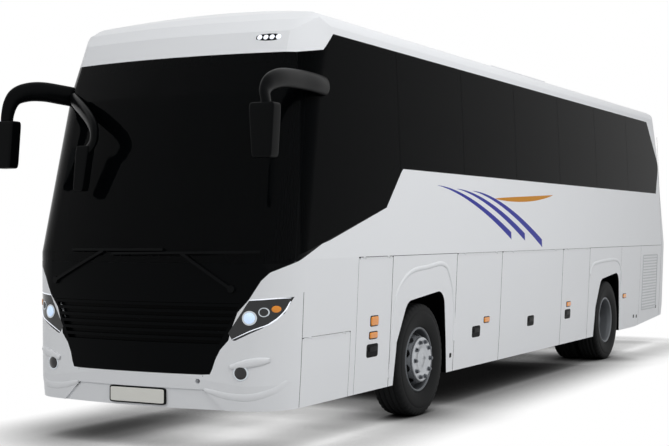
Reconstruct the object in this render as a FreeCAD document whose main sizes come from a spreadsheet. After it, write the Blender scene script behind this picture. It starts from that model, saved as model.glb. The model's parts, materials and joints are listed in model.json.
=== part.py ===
# Two-axle coach bus, full size, in millimetres.
# +X points to the bus's left, +Y to its rear and +Z up. The origin is on the ground,
# in the middle of the vehicle with its mirrors. Sizes along the bus are told from the
# front axle, which FRONT_AXLE places.
import FreeCAD, Part
import math
import os
import re
import Sketcher

os.makedirs("parts", exist_ok=True)
doc = FreeCAD.newDocument("CoachBus")
sheet = doc.addObject("Spreadsheet::Sheet", "Sizes")

SIZES = [
    # whole vehicle
    ("body_length", 12000, "bumper to bumper"),
    ("body_width", 2550, "over the side walls at the belt"),
    ("crown_height", 3600, "top of the roof's crown above the ground"),
    ("wheelbase", 6050, "front axle to rear axle"),
    ("front_overhang", 2750, "front axle to the bumper's nose"),
    ("mirror_reach", 370, "mirror heads ahead of the bumper"),
    ("wall_thickness", 55, "side walls, panels and lids"),
    ("glass_thickness", 8, "bonded glazing"),
    ("panel_gap", 4, "shut line between fixed panels"),
    ("lid_gap", 8, "shut line round what opens"),
    # horizontal levels of the skin
    ("skirt_bottom", 340, "lower edge of the skirts"),
    ("bumper_level", 650, "foremost level of the bumper"),
    ("belt_level", 1500, "seam above the lids"),
    ("window_bottom", 2280, "lower edge of the glass band"),
    ("brow_level", 2800, "level where the windscreen starts to curve"),
    ("screen_top", 3150, "top of the windscreen"),
    ("window_top", 3340, "upper edge of the glass band"),
    ("roof_seam", 3425, "seam between wall and roof"),
    # how far the skin stands inside the body's width at each level
    ("skirt_tuck", 60, "at the skirt's edge"),
    ("bumper_tuck", 40, "at the bumper level"),
    ("brow_inset", 48, "at the brow"),
    ("screen_inset", 66, "at the windscreen's top"),
    # how far the nose stands behind the bumper's foremost point
    ("chin_setback", 15, "at the skirt's edge"),
    ("belt_setback", 38, "at the belt"),
    ("brow_setback", 345, "at the brow"),
    ("screen_setback", 485, "at the windscreen's top"),
    # how far the tail stands ahead of the rear bumper
    ("rear_chin_setback", 60, "at the skirt's edge"),
    ("rear_belt_setback", 35, "at the belt"),
    ("rear_brow_setback", 235, "at the brow"),
    ("rear_top_setback", 340, "at the windscreen's top level"),
    # dome above the windscreen: rise over the windscreen's top, then how far the skin stands
    # behind the bumper's foremost point and ahead of the rear bumper
    ("dome_foot_rise", 180, "foot of the dome"),
    ("dome_foot_nose", 560, "there"),
    ("dome_foot_tail", 400, "there"),
    ("dome_brow_rise", 290, "brow of the dome"),
    ("dome_brow_nose", 670, "there"),
    ("dome_brow_tail", 465, "there"),
    ("dome_neck_rise", 370, "where the dome turns over"),
    ("dome_neck_nose", 830, "there"),
    ("dome_neck_tail", 575, "there"),
    ("dome_cap_rise", 490, "above the crown"),
    ("dome_cap_nose", 1260, "there"),
    ("dome_cap_tail", 880, "there"),
    ("crown_radius", 7000, "curve of the roof across the bus"),
    ("roof_edge_inset", 70, "roof edge inside the body's width"),
    ("roof_round", 180, "rounding of the roof's edge"),
    ("nose_bow", 4500, "curve of the nose in plan"),
    ("tail_bow", 9000, "curve of the tail in plan"),
    ("nose_corner", 380, "corner radius of the nose in plan"),
    ("tail_corner", 220, "corner radius of the tail in plan"),
    # panel lines of the side, behind the front axle
    ("corner_line", -2280, "bumper to side wall"),
    ("flap_line", -1460, "rear edge of the low front flap"),
    ("flap_top", 888, "top of the low front flap"),
    ("service_line", -1360, "front edge of the service flap"),
    ("arch_line_front", -690, "front edge of the front arch panel"),
    ("arch_line_rear", 776, "rear edge of the front arch panel"),
    ("bay_line_one", 2020, "first luggage lid to second"),
    ("bay_line_two", 1970, "second luggage lid to third, ahead of the rear axle"),
    ("bay_line_three", 880, "third luggage lid to rear arch panel, ahead of the rear axle"),
    ("rear_arch_line", 590, "rear arch panel to engine flap, behind the rear axle"),
    ("grille_line", 1600, "engine flap to radiator panel, behind the rear axle"),
    ("tail_line", 430, "side wall to tail panel, ahead of the rear bumper"),
    # wheel arches, from their axle
    ("arch_front_foot", 600, "front edge at the skirt"),
    ("arch_front_knee", 550, "front edge at the knee"),
    ("arch_knee_level", 720, "height of the knee"),
    ("arch_front_brow", 350, "front end of the arch's top"),
    ("arch_brow_level", 1080, "height there"),
    ("arch_rear_brow", 480, "rear end of the arch's top"),
    ("arch_top_level", 1155, "height there"),
    ("arch_rear_foot", 640, "rear edge at the skirt"),
    ("arch_round", 160, "rounding of the arch's upper corners"),
    ("housing_front_wall", 545, "front wheel housing from the middle"),
    ("housing_rear_wall", 520, "rear wheel housing from the middle"),
    ("housing_half", 640, "wheel housing's half length"),
    ("housing_top", 1190, "wheel housing's ceiling"),
    ("sheet_thickness", 12, "housings and bulkheads"),
    # glass band and windows
    ("joint_top_back", -2100, "windscreen joint at its top"),
    ("joint_mid_back", -2262, "windscreen joint at the sill"),
    ("joint_mid_level", 2120, "height of that point"),
    ("joint_foot_back", -2335, "windscreen joint at its foot"),
    ("joint_foot_level", 1540, "height of that point"),
    ("scuttle_level", 1470, "lower edge of the windscreen"),
    ("scuttle_corner_back", -2440, "where that edge meets the slope"),
    ("slope_mid_back", -790, "kink of the rising sill"),
    ("slope_mid_level", 1930, "height of the kink"),
    ("slope_top_back", -430, "top of the rising sill"),
    ("notch_foot_back", -1850, "dome notch in the glass band, foot"),
    ("notch_foot_level", 3190, "height of that point"),
    ("notch_top_back", -1675, "dome notch, top"),
    ("band_foot_end", 650, "rear end of the band's lower edge, ahead of the rear bumper"),
    ("band_mid_end", 455, "rearmost point of the band, ahead of the rear bumper"),
    ("band_mid_level", 2700, "height of that point"),
    ("band_top_end", 1010, "rear end of the upper edge, ahead of the rear bumper"),
    ("pane_start", -480, "first pane joint"),
    ("pane_pitch", 1510, "pane joint to pane joint"),
    ("pane_gap", 6, "joint between panes"),
    ("pillar_half", 55, "half width of a window pillar"),
    ("window_frame", 45, "frame seen round each window"),
    ("window_round", 60, "rounding of the window openings"),
    ("screen_opening", 1120, "half width of the opening behind the windscreen"),
    ("screen_border", 80, "frame behind the windscreen's edge"),
    ("rear_glass_half", 1000, "half width of the rear window"),
    ("rear_glass_top", 3220, "upper edge of the rear window"),
    ("dome_seam_back", -1450, "dome to roof"),
    # front mask, lamps and bumper
    ("mask_top_half", 1060, "half width at the windscreen"),
    ("mask_shoulder", 1105, "half width below the windscreen"),
    ("mask_shoulder_level", 1420, "height of that point"),
    ("mask_flank", 1020, "half width above the lamps"),
    ("mask_flank_level", 1300, "height of that point"),
    ("lamp_inner", 970, "lamp's inner top corner from the middle"),
    ("lamp_inner_level", 1185, "height of that corner"),
    ("lamp_nose", 807, "lamp's inner lower corner"),
    ("lamp_nose_level", 935, "height of that corner"),
    ("lamp_foot", 850, "lamp's lower edge, inner end"),
    ("lamp_foot_level", 872, "height of that corner"),
    ("lamp_belly", 1065, "lamp's lower edge, middle"),
    ("lamp_belly_level", 975, "height there"),
    ("lamp_tip", 1237, "lamp's outer tip from the middle"),
    ("lamp_tip_level", 1213, "height of the tip"),
    ("lamp_heel", 1195, "lamp's outer heel"),
    ("lamp_heel_level", 1088, "height of the heel"),
    ("lamp_depth", 120, "depth of the headlamp housing"),
    ("mask_foot", 624, "half width of the mask's foot"),
    ("mask_foot_level", 608, "height of the mask's foot"),
    ("grille_top", 1165, "top of the ribbed grille"),
    ("grille_foot", 850, "foot of the ribbed grille"),
    ("grille_half_top", 900, "half width of the grille's top"),
    ("grille_half_foot", 735, "half width of the grille's foot"),
    ("rib_pitch", 52, "grille rib to rib"),
    ("rib_height", 24, "height of a grille rib"),
    ("rib_count", 6, "number of grille ribs"),
    ("intake_depth", 38, "depth of the recess behind the ribs"),
    ("fog_across", 917, "fog lamp from the middle"),
    ("fog_level", 632, "height of the fog lamps"),
    ("fog_radius", 58, "radius of a fog lamp"),
    ("plate_half_top", 600, "half width of the plate recess at its top"),
    ("plate_half_foot", 780, "half width at its foot"),
    ("plate_top", 497, "top of the plate recess"),
    ("plate_recess", 14, "depth of the plate recess"),
    ("tow_across", 560, "front tow socket from the middle"),
    ("tow_level", 560, "height of the front tow socket"),
    ("tow_radius", 20, "radius of the tow sockets"),
    ("lamp_shoulder_back", -2409, "where the bumper's top meets the lamp's tip"),
    ("lamp_shoulder_level", 1247, "bumper's top at the corner line"),
    ("kink_line", 1800, "where the rear skirt starts to rise, ahead of the rear bumper"),
    ("kink_rise", 80, "rise of the skirt's edge at the tail line"),
    ("tail_lamp_inner", 930, "tail lamps, inner edge from the middle"),
    ("tail_lamp_outer", 1090, "tail lamps, outer edge"),
    ("tail_lamp_foot", 850, "tail lamps, lower edge"),
    ("tail_lamp_top", 1460, "tail lamps, upper edge"),
    # wheels
    ("tyre_radius", 522, "295/80 R22.5"),
    ("tyre_width", 298, "section width"),
    ("tyre_face", 1235, "outer face of the outer tyre from the middle"),
    ("rim_radius", 298, "rim flange"),
    ("twin_pitch", 334, "twin tyre to twin tyre"),
    ("kingpin_across", 985, "kingpin from the middle"),
    ("arm_length", 160, "steering arm"),
    ("kingpin_radius", 25, "kingpin"),
    ("spindle_radius", 40, "front wheel spindle"),
    ("rear_spindle", 50, "rear wheel spindle"),
    ("beam_low", 440, "underside of the front axle beam"),
    ("beam_high", 560, "top of the front axle beam"),
    ("axle_tube", 90, "rear axle tube"),
    ("rail_across", 450, "chassis rail from the middle"),
    ("rail_half", 40, "half width of a chassis rail"),
    ("rail_low", 640, "underside of the chassis rails"),
    ("rail_high", 800, "top of the chassis rails"),
    ("pad_half", 40, "half width of a jacking pad"),
    ("pad_drop", 20, "jacking pad below its rail"),
    ("running_gap", 0.3, "gap at pins and bearings"),
    # floors
    ("deck_top", 1500, "cabin floor"),
    ("deck_thickness", 50, "cabin floor panel"),
    ("deck_front", -950, "front edge of the cabin floor"),
    ("cab_floor", 1000, "driver's floor"),
    ("bay_floor", 440, "luggage bay floor"),
    ("bay_half", 1130, "half width of the luggage bay"),
    ("deck_half", 1200, "half width of the cabin floor"),
    ("deck_rear", 550, "rear edge of the cabin floor, ahead of the rear bumper"),
    ("aisle_half", 350, "half width of the aisle"),
    # doors
    ("door_front", -2225, "front edge of the front door"),
    ("door_foot", 360, "lower edge of both doors"),
    ("door_head", 2950, "top of the front door"),
    ("mid_door_front", 1954, "front edge of the middle door, ahead of the rear axle"),
    ("mid_door_rear", 1078, "rear edge of the middle door, ahead of the rear axle"),
    ("mid_door_head", 2230, "top of the middle door"),
    ("door_glass_foot", 1150, "lower edge of the front door's glass"),
    ("door_border", 70, "frame round the door's glass"),
    ("swing_arm", 500, "door swing arm"),
    ("swing_post_inset", 137, "door post inboard of the skin"),
    ("swing_post_back", 195, "door post ahead of the door's rear edge"),
    ("swing_rest", 93, "arm's angle from square at rest, degrees"),
    ("post_radius", 20, "door post"),
    ("post_foot", 700, "lower end of the door posts"),
    ("swing_pin", 10, "pin in the arm's eye"),
    # lids
    ("lid_drop", 10, "lid's top below the panel above"),
    ("lid_pin", 2.5, "radius of a lid's hinge pin"),
    ("engine_half", 900, "half width of the engine lid"),
    ("engine_foot", 830, "lower edge of the engine lid"),
    ("engine_top", 1900, "upper edge of the engine lid's opening"),
    ("wiper_thickness", 22, "wiper arms and blades off the glass"),
    # seats
    ("seat_pitch", 790, "row to row"),
    ("seat_width", 420, "one cushion"),
]
aliases = set()


def fill_sheet():
    """Writes every driving dimension into the sheet, one row each."""
    for row, (alias, value_, note) in enumerate(SIZES, start=1):
        sheet.set(f"A{row}", alias)
        sheet.set(f"B{row}", str(value_))
        sheet.set(f"C{row}", note)
        sheet.setAlias(f"B{row}", alias)
        aliases.add(alias)
    doc.recompute()


def bound(text):
    """Turns an expression in the sheet's words into one that reads its cells."""
    return re.sub(r"[a-z][a-z_]*", lambda m: f"Sizes.{m[0]}" if m[0] in aliases else m[0], str(text))


def value(text):
    """Works out an expression now, to place a sketch before it is solved."""
    result = sheet.evalExpression(bound(text))
    return float(getattr(result, "Value", result))


def bind(thing, prop, text):
    thing.setExpression(prop, bound(text))


fill_sheet()

# Places told by words, all worked out from the sheet.
HALF = "(body_width / 2)"
FRONT_AXLE = "(mirror_reach + front_overhang - (body_length + mirror_reach) / 2)"
REAR_AXLE = f"({FRONT_AXLE} + wheelbase)"
NOSE = "(-front_overhang)"
TAIL = "(body_length - front_overhang)"
OUTSIDE = f"({HALF} + 200)"
BAY_LINE_TWO = "(wheelbase - bay_line_two)"
BAY_LINE_THREE = "(wheelbase - bay_line_three)"
REAR_ARCH_LINE = "(wheelbase + rear_arch_line)"
GRILLE_LINE = "(wheelbase + grille_line)"
TAIL_LINE = f"({TAIL} - tail_line)"
BAND_FOOT_END = f"({TAIL} - band_foot_end)"
BAND_MID_END = f"({TAIL} - band_mid_end)"
BAND_TOP_END = f"({TAIL} - band_top_end)"
KINK_LINE = f"({TAIL} - kink_line)"
DECK_REAR = f"({TAIL} - deck_rear)"
MID_DOOR_FRONT = "(wheelbase - mid_door_front)"
MID_DOOR_REAR = "(wheelbase - mid_door_rear)"


def plane(body, role):
    return [f for f in body.Origin.OriginFeatures if f.Role == role][0]


def sketch_on(body, name, role, across="0", up="0", out="0"):
    """A sketch on one of the body's planes, its origin moved along the plane and off it."""
    sketch = body.newObject("Sketcher::SketchObject", name)
    sketch.AttachmentSupport = [(plane(body, role), "")]
    sketch.MapMode = "FlatFace"
    for letter, text in zip("xyz", (across, up, out)):
        bind(sketch, f".AttachmentOffset.Base.{letter}", text)
    return sketch


def outline(sketch, corners):
    """Draws a closed outline: straight sides, and a tangent arc where a corner has a radius."""
    points = [FreeCAD.Vector(value(c[0]), value(c[1]), 0) for c in corners]
    radii = [value(c[2]) if len(c) > 2 else 0 for c in corners]
    count = len(points)
    enter, leave, middles = [], [], []
    for i, here in enumerate(points):
        back = (points[i - 1] - here).normalize()
        ahead = (points[(i + 1) % count] - here).normalize()
        half = back.getAngle(ahead) / 2
        reach = radii[i] / math.tan(half) if radii[i] else 0
        enter.append(here + back * reach)
        leave.append(here + ahead * reach)
        middles.append(here + (back + ahead).normalize() * (radii[i] / math.sin(half)) if radii[i] else here)
    lines = []
    for i in range(count):
        lines.append(sketch.addGeometry(Part.LineSegment(leave[i], enter[(i + 1) % count]), False))
    rules, sized = [], []

    def rule(*args):
        rules.append(Sketcher.Constraint(*args))

    for i, corner in enumerate(corners):
        if radii[i]:
            a, b = enter[i] - middles[i], leave[i] - middles[i]
            left_turn = a.cross(b).z > 0
            first, last = (a, b) if left_turn else (b, a)
            circle = Part.Circle(middles[i], FreeCAD.Vector(0, 0, 1), radii[i])
            begin = math.atan2(first.y, first.x)
            finish = math.atan2(last.y, last.x)
            if finish < begin:
                finish += 2 * math.pi
            arc = sketch.addGeometry(Part.ArcOfCircle(circle, begin, finish), False)
            point = sketch.addGeometry(Part.Point(points[i]), True)
            rule("Tangent", lines[i - 1], 2, arc, 1 if left_turn else 2)
            rule("Tangent", arc, 2 if left_turn else 1, lines[i], 1)
            rule("PointOnObject", point, 1, lines[i - 1])
            rule("PointOnObject", point, 1, lines[i])
            sized.append((len(rules), corner[2]))
            rule("Radius", arc, radii[i])
            holder = point
        else:
            rule("Coincident", lines[i - 1], 2, lines[i], 1)
            holder = lines[i]
        sized.append((len(rules), corner[0]))
        rule("DistanceX", -1, 1, holder, 1, points[i].x)
        sized.append((len(rules), corner[1]))
        rule("DistanceY", -1, 1, holder, 1, points[i].y)
    sketch.addConstraint(rules)
    for index, text in sized:
        bind(sketch, f"Constraints[{index}]", text)


def pad(body, sketch, length):
    feature = body.newObject("PartDesign::Pad", sketch.Name + "Pad")
    feature.Profile = sketch
    bind(feature, "Length", length)
    sketch.Visibility = False
    return feature


def new_body(name):
    return doc.addObject("PartDesign::Body", name)


def side_block(name, corners, inner="300", outer=OUTSIDE):
    """A block with an outline in the side view, from one distance off the middle to another."""
    body = new_body(name)
    sketch = sketch_on(body, name + "Outline", "YZ_Plane", FRONT_AXLE, "0", inner)
    outline(sketch, corners)
    pad(body, sketch, f"({outer}) - ({inner})")
    return body


def front_block(name, corners, near, far):
    """A block with an outline in the front view, between two distances behind the front axle."""
    body = new_body(name)
    sketch = sketch_on(body, name + "Outline", "XZ_Plane", "0", "0", f"-({FRONT_AXLE} + {far})")
    outline(sketch, corners)
    pad(body, sketch, f"({far}) - ({near})")
    return body


def floor_block(name, corners, low, high):
    """A block with an outline in the plan view, between two heights."""
    body = new_body(name)
    sketch = sketch_on(body, name + "Outline", "XY_Plane", "0", FRONT_AXLE, low)
    outline(sketch, corners)
    pad(body, sketch, f"({high}) - ({low})")
    return body


def rectangle(left, right, low, high):
    return [(left, low), (right, low), (right, high), (left, high)]


def brick(name, x0, x1, y0, y1, z0, z1):
    """A plain block; its places along the bus are told from the front axle."""
    block = doc.addObject("Part::Box", name)
    bind(block, "Length", f"({x1}) - ({x0})")
    bind(block, "Width", f"({y1}) - ({y0})")
    bind(block, "Height", f"({z1}) - ({z0})")
    bind(block, ".Placement.Base.x", x0)
    bind(block, ".Placement.Base.y", f"{FRONT_AXLE} + {y0}")
    bind(block, ".Placement.Base.z", z0)
    return block


TURNS = {
    "x": (FreeCAD.Vector(0, 1, 0), 90),
    "y": (FreeCAD.Vector(1, 0, 0), -90),
    "z": (FreeCAD.Vector(0, 0, 1), 0),
}


def rod(name, axis, x, y, z, radius, length):
    """A cylinder from the given point along an axis."""
    cylinder = doc.addObject("Part::Cylinder", name)
    turn, angle = TURNS[axis]
    cylinder.Placement = FreeCAD.Placement(FreeCAD.Vector(), FreeCAD.Rotation(turn, angle))
    bind(cylinder, "Radius", radius)
    bind(cylinder, "Height", length)
    bind(cylinder, ".Placement.Base.x", x)
    bind(cylinder, ".Placement.Base.y", f"{FRONT_AXLE} + {y}")
    bind(cylinder, ".Placement.Base.z", z)
    return cylinder


def common(name, *things):
    result = doc.addObject("Part::MultiCommon", name)
    result.Shapes = list(things)
    return result


def fuse(name, *things):
    result = doc.addObject("Part::MultiFuse", name)
    result.Shapes = list(things)
    return result


def cut(name, base, *tools):
    """Takes the tools away from the base."""
    result = doc.addObject("Part::Cut", name)
    result.Base = base
    result.Tool = tools[0] if len(tools) == 1 else fuse(name + "Tools", *tools)
    return result


def group(name, *things):
    """Several solids that don't touch, kept as one object."""
    result = doc.addObject("Part::Compound", name)
    result.Links = list(things)
    return result


def mirrored(name, source):
    """The same thing on the other side of the bus."""
    result = doc.addObject("Part::Mirroring", name)
    result.Source = source
    result.Normal = FreeCAD.Vector(1, 0, 0)
    return result


def moved(name, source, y):
    """A copy of a thing further along the bus."""
    result = doc.addObject("Part::Compound", name)
    result.Links = [source]
    bind(result, ".Placement.Base.y", y)
    return result


nodes = []


def node(name, thing):
    """Marks a finished sub-part."""
    thing.Label = name
    nodes.append(thing)
    return thing


# Skin of the bus, bounded by leaning walls under a crowned roof. Each wall is a prism whose
# axis follows the lean of one stretch of the nose or tail and of the side beside it. Only the
# left half is built, then mirrored.
LEVELS = [
    ("skirt_bottom", "skirt_tuck", "chin_setback", "rear_chin_setback"),
    ("bumper_level", "bumper_tuck", "0", "0"),
    ("belt_level", "0", "belt_setback", "rear_belt_setback"),
    ("brow_level", "brow_inset", "brow_setback", "rear_brow_setback"),
    ("screen_top", "screen_inset", "screen_setback", "rear_top_setback"),
]
CLEAR_OF_SIDE = "(-10)"
for step in ("dome_foot", "dome_brow", "dome_neck", "dome_cap"):
    LEVELS.append((f"(screen_top + {step}_rise)", CLEAR_OF_SIDE, f"{step}_nose", f"{step}_tail"))
FAR = 13000
DEEP = 11000
UP = FreeCAD.Vector(0, 0, 1)


def arc_of(sketch, x, y, radius, start, end):
    circle = Part.Circle(FreeCAD.Vector(x, y, 0), UP, radius)
    return sketch.addGeometry(Part.ArcOfCircle(circle, start, end), False)


def leaning_wall(name, inset, below, above, end):
    """A prism along one leaning stretch of the skin: bow, corner and side, at the nose or the tail."""
    step = 2 if end == "nose" else 3
    sign = 1 if end == "nose" else -1
    rise = f"({above[0]} - {below[0]})"
    lean = f"(({above[1]} - {below[1]}) / {rise})"
    rake = f"(({above[step]} - {below[step]}) / {rise})"
    across = f"(({HALF} - ({above[1]} + {below[1]}) / 2) / sqrt(1 + {lean}^2) - {inset})"
    scale = f"sqrt((1 + {lean}^2) / (1 + {lean}^2 + {rake}^2))"
    reach = NOSE if end == "nose" else TAIL
    back = f"({reach} + {sign} * ({above[step]} + {below[step]}) / 2) * {scale} + {sign} * {inset}"
    g, r = value(lean), sign * value(rake)
    middle = (value(above[0]) + value(below[0])) / 2
    axis = FreeCAD.Vector(-g, r, 1).normalize()
    side = FreeCAD.Vector(1, 0, g).normalize()
    along = axis.cross(side)
    turn = FreeCAD.Rotation(side, along, axis, "ZXY")
    body = new_body(name)
    body.Placement = FreeCAD.Placement(FreeCAD.Vector(0, value(FRONT_AXLE), middle), turn)
    sketch = sketch_on(body, name + "Outline", "XY_Plane", "0", "0", f"-{DEEP}")
    past_text = f"-(400 + crown_height * abs({lean}))"
    w, tip, past = value(across), value(back), value(past_text)
    corner_text, bow_text = f"{end}_corner * sqrt({scale}) - {inset}", f"{end}_bow / {scale} - {inset}"
    corner, bow = value(corner_text), value(bow_text)
    bow_y = tip + sign * bow
    corner_y = bow_y - sign * math.sqrt((bow - corner) ** 2 - (w - corner) ** 2)
    tilt = math.asin((w - corner) / (bow - corner))
    start_tilt = math.asin(past / bow)
    start_y = bow_y - sign * bow * math.cos(start_tilt)
    far = sign * FAR
    quarter = math.pi / 2
    if end == "nose":
        bow_arc = arc_of(sketch, 0, bow_y, bow, start_tilt - quarter, tilt - quarter)
        corner_arc = arc_of(sketch, w - corner, corner_y, corner, tilt - quarter, 0)
    else:
        bow_arc = arc_of(sketch, 0, bow_y, bow, quarter - tilt, quarter - start_tilt)
        corner_arc = arc_of(sketch, w - corner, corner_y, corner, 0, quarter - tilt)
    corners = [(w, corner_y), (w, far), (past, far), (past, start_y)]
    points = [FreeCAD.Vector(x, y, 0) for x, y in corners]
    flank, rear, inner = [
        sketch.addGeometry(Part.LineSegment(a, b), False) for a, b in zip(points, points[1:])
    ]
    first, last = (1, 2) if end == "nose" else (2, 1)
    rules = [
        Sketcher.Constraint("Tangent", bow_arc, last, corner_arc, first),
        Sketcher.Constraint("Tangent", corner_arc, last, flank, 1),
        Sketcher.Constraint("Coincident", flank, 2, rear, 1),
        Sketcher.Constraint("Coincident", rear, 2, inner, 1),
        Sketcher.Constraint("Coincident", inner, 2, bow_arc, first),
        Sketcher.Constraint("Vertical", flank),
        Sketcher.Constraint("Horizontal", rear),
        Sketcher.Constraint("Vertical", inner),
        Sketcher.Constraint("PointOnObject", bow_arc, 3, -2),
        Sketcher.Constraint("DistanceX", -1, 1, inner, 1, past),
        Sketcher.Constraint("DistanceY", -1, 1, rear, 1, far),
        Sketcher.Constraint("DistanceX", -1, 1, flank, 1, w),
        Sketcher.Constraint("Radius", bow_arc, bow),
        Sketcher.Constraint("Radius", corner_arc, corner),
        Sketcher.Constraint("DistanceY", -1, 1, bow_arc, 3, bow_y),
    ]
    sketch.addConstraint(rules)
    texts = (past_text, across, bow_text, corner_text, f"{back} + {sign} * ({bow_text})")
    for index, text in zip((9, 11, 12, 13, 14), texts):
        bind(sketch, f"Constraints[{index}]", text)
    pad(body, sketch, str(2 * DEEP))
    return body


def crown_block(name, inset):
    """Everything under the roof's crown and its round edges, flared to clear the walls below."""
    crown = new_body(name)
    sketch = sketch_on(crown, name + "Line", "XZ_Plane", "0", "0", f"-({FRONT_AXLE} + {TAIL} + 100)")
    texts = (
        f"crown_radius - {inset}",
        f"roof_round - {inset}",
        f"{HALF} - roof_edge_inset - {inset}",
        "crown_height - crown_radius",
    )
    big, small, side, middle = [value(text) for text in texts]
    across = side - small
    shoulder = middle + math.sqrt((big - small) ** 2 - across ** 2)
    tilt = math.atan2(across, shoulder - middle)
    upright = math.pi / 2
    right = arc_of(sketch, across, shoulder, small, 0, upright - tilt)
    top = arc_of(sketch, 0, middle, big, upright - tilt, upright + tilt)
    left = arc_of(sketch, -across, shoulder, small, upright + tilt, 2 * upright)
    foot = value(OUTSIDE)
    corners = [
        FreeCAD.Vector(x, y, 0) for x, y in ((-side, shoulder), (-foot, 0), (foot, 0), (side, shoulder))
    ]
    sides = [sketch.addGeometry(Part.LineSegment(a, b), False) for a, b in zip(corners, corners[1:])]
    rules = [
        Sketcher.Constraint("Tangent", right, 2, top, 1),
        Sketcher.Constraint("Tangent", top, 2, left, 1),
        Sketcher.Constraint("Coincident", left, 2, sides[0], 1),
        Sketcher.Constraint("Coincident", sides[0], 2, sides[1], 1),
        Sketcher.Constraint("Coincident", sides[1], 2, sides[2], 1),
        Sketcher.Constraint("Coincident", sides[2], 2, right, 1),
        Sketcher.Constraint("PointOnObject", sides[1], 1, -1),
        Sketcher.Constraint("PointOnObject", sides[1], 2, -1),
        Sketcher.Constraint("PointOnObject", top, 3, -2),
        Sketcher.Constraint("Horizontal", right, 1, right, 3),
        Sketcher.Constraint("Horizontal", left, 2, left, 3),
        Sketcher.Constraint("Equal", left, right),
        Sketcher.Constraint("Radius", top, big),
        Sketcher.Constraint("Radius", right, small),
        Sketcher.Constraint("DistanceX", -1, 1, right, 1, side),
        Sketcher.Constraint("DistanceY", -1, 1, top, 3, middle),
        Sketcher.Constraint("DistanceX", -1, 1, sides[1], 1, -foot),
        Sketcher.Constraint("DistanceX", -1, 1, sides[1], 2, foot),
    ]
    sketch.addConstraint(rules)
    for index, text in zip((12, 13, 14, 15, 16, 17), texts + (f"-{OUTSIDE}", OUTSIDE)):
        bind(sketch, f"Constraints[{index}]", text)
    pad(crown, sketch, "body_length + 200")
    return crown


def skin_half(name, inset):
    """The left half of the bus's outer form as one solid, or the same form inset."""
    walls = []
    for index, (below, above) in enumerate(zip(LEVELS, LEVELS[1:])):
        if above[1] == CLEAR_OF_SIDE:
            below = (below[0], CLEAR_OF_SIDE, *below[2:])
        for end in ("nose", "tail"):
            walls.append(leaning_wall(f"{name}{end.title()}{index}", inset, below, above, end))
    low = "skirt_bottom" if inset == "0" else f"skirt_bottom - {inset}"
    clip = brick(name + "Clip", "0", OUTSIDE, f"{NOSE} - 100", f"{TAIL} + 100", low, "crown_height + 100")
    return common(name, *walls, crown_block(name + "Crown", inset), clip)


outer_skin = skin_half("OuterSkin", "0")
glass_back = skin_half("GlassBack", "glass_thickness")
inner_skin = skin_half("InnerSkin", "wall_thickness")
wall_shell = cut("WallShell", outer_skin, inner_skin)
glass_shell = cut("GlassShell", outer_skin, glass_back)
frame_shell = cut("FrameShell", glass_back, inner_skin)


def joined(name, half):
    """A middle piece from its left half."""
    whole = fuse(name, half, mirrored(name + "Right", half))
    whole.Refine = True
    return whole


cabin_space = joined("CabinSpace", inner_skin)

# Outlines that neighbours share, in the side view.
FAR_NOSE = f"({NOSE} - 200)"
FAR_TAIL = f"({TAIL} + 200)"
ABOVE = "(crown_height + 200)"
BELOW = "(skirt_bottom - 100)"
JOINT = [
    ("joint_top_back", "screen_top"),
    ("joint_mid_back", "joint_mid_level"),
    ("joint_foot_back", "joint_foot_level"),
    ("scuttle_corner_back", "scuttle_level"),
]
NOTCH = [
    ("notch_top_back", "window_top"),
    ("notch_foot_back", "notch_foot_level"),
    ("joint_top_back", "screen_top"),
]
LAMP_SHOULDER = [
    (FAR_NOSE, "lamp_inner_level"),
    ("lamp_shoulder_back", "lamp_tip_level"),
    ("corner_line", "lamp_shoulder_level"),
]
REAR_JOINT = [(TAIL_LINE, "roof_seam - 110"), (f"{TAIL_LINE} - 150", "roof_seam")]
BAND_REAR = [
    (BAND_FOOT_END, "window_bottom"),
    (BAND_MID_END, "band_mid_level"),
    (BAND_TOP_END, "window_top"),
]

# Windscreen, the frame behind it, and the dome and roof above.
screen_outline = [(FAR_NOSE, "screen_top"), *JOINT, (FAR_NOSE, "scuttle_level")]
screen_block = side_block("ScreenBlock", screen_outline, "0")
node("windscreen", joined("Windscreen", common("WindscreenHalf", glass_shell, screen_block)))
screen_corners = rectangle(
    "-screen_opening",
    "screen_opening",
    "scuttle_level + screen_border",
    "screen_top - screen_border",
)
screen_corners = [(*corner, "140") for corner in screen_corners]
screen_opening = front_block("ScreenOpening", screen_corners, FAR_NOSE, "joint_top_back")
cab_half = cut("CabFrameHalf", common("CabFrameShell", frame_shell, screen_block), screen_opening)
node("cab_frame", joined("CabFrame", cab_half))
dome_outline = [
    (FAR_NOSE, "screen_top"),
    *reversed(NOTCH),
    ("notch_top_back", "roof_seam"),
    ("dome_seam_back", "roof_seam"),
    ("dome_seam_back", ABOVE),
    (FAR_NOSE, ABOVE),
]
dome_block = side_block("DomeBlock", dome_outline, "0")
node("front_dome", joined("FrontDome", common("FrontDomeHalf", wall_shell, dome_block)))
roof_block = brick("RoofBlock", "0", OUTSIDE, "dome_seam_back", FAR_TAIL, "roof_seam", ABOVE)
node("roof_panel", joined("RoofPanel", common("RoofPanelHalf", wall_shell, roof_block)))

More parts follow.
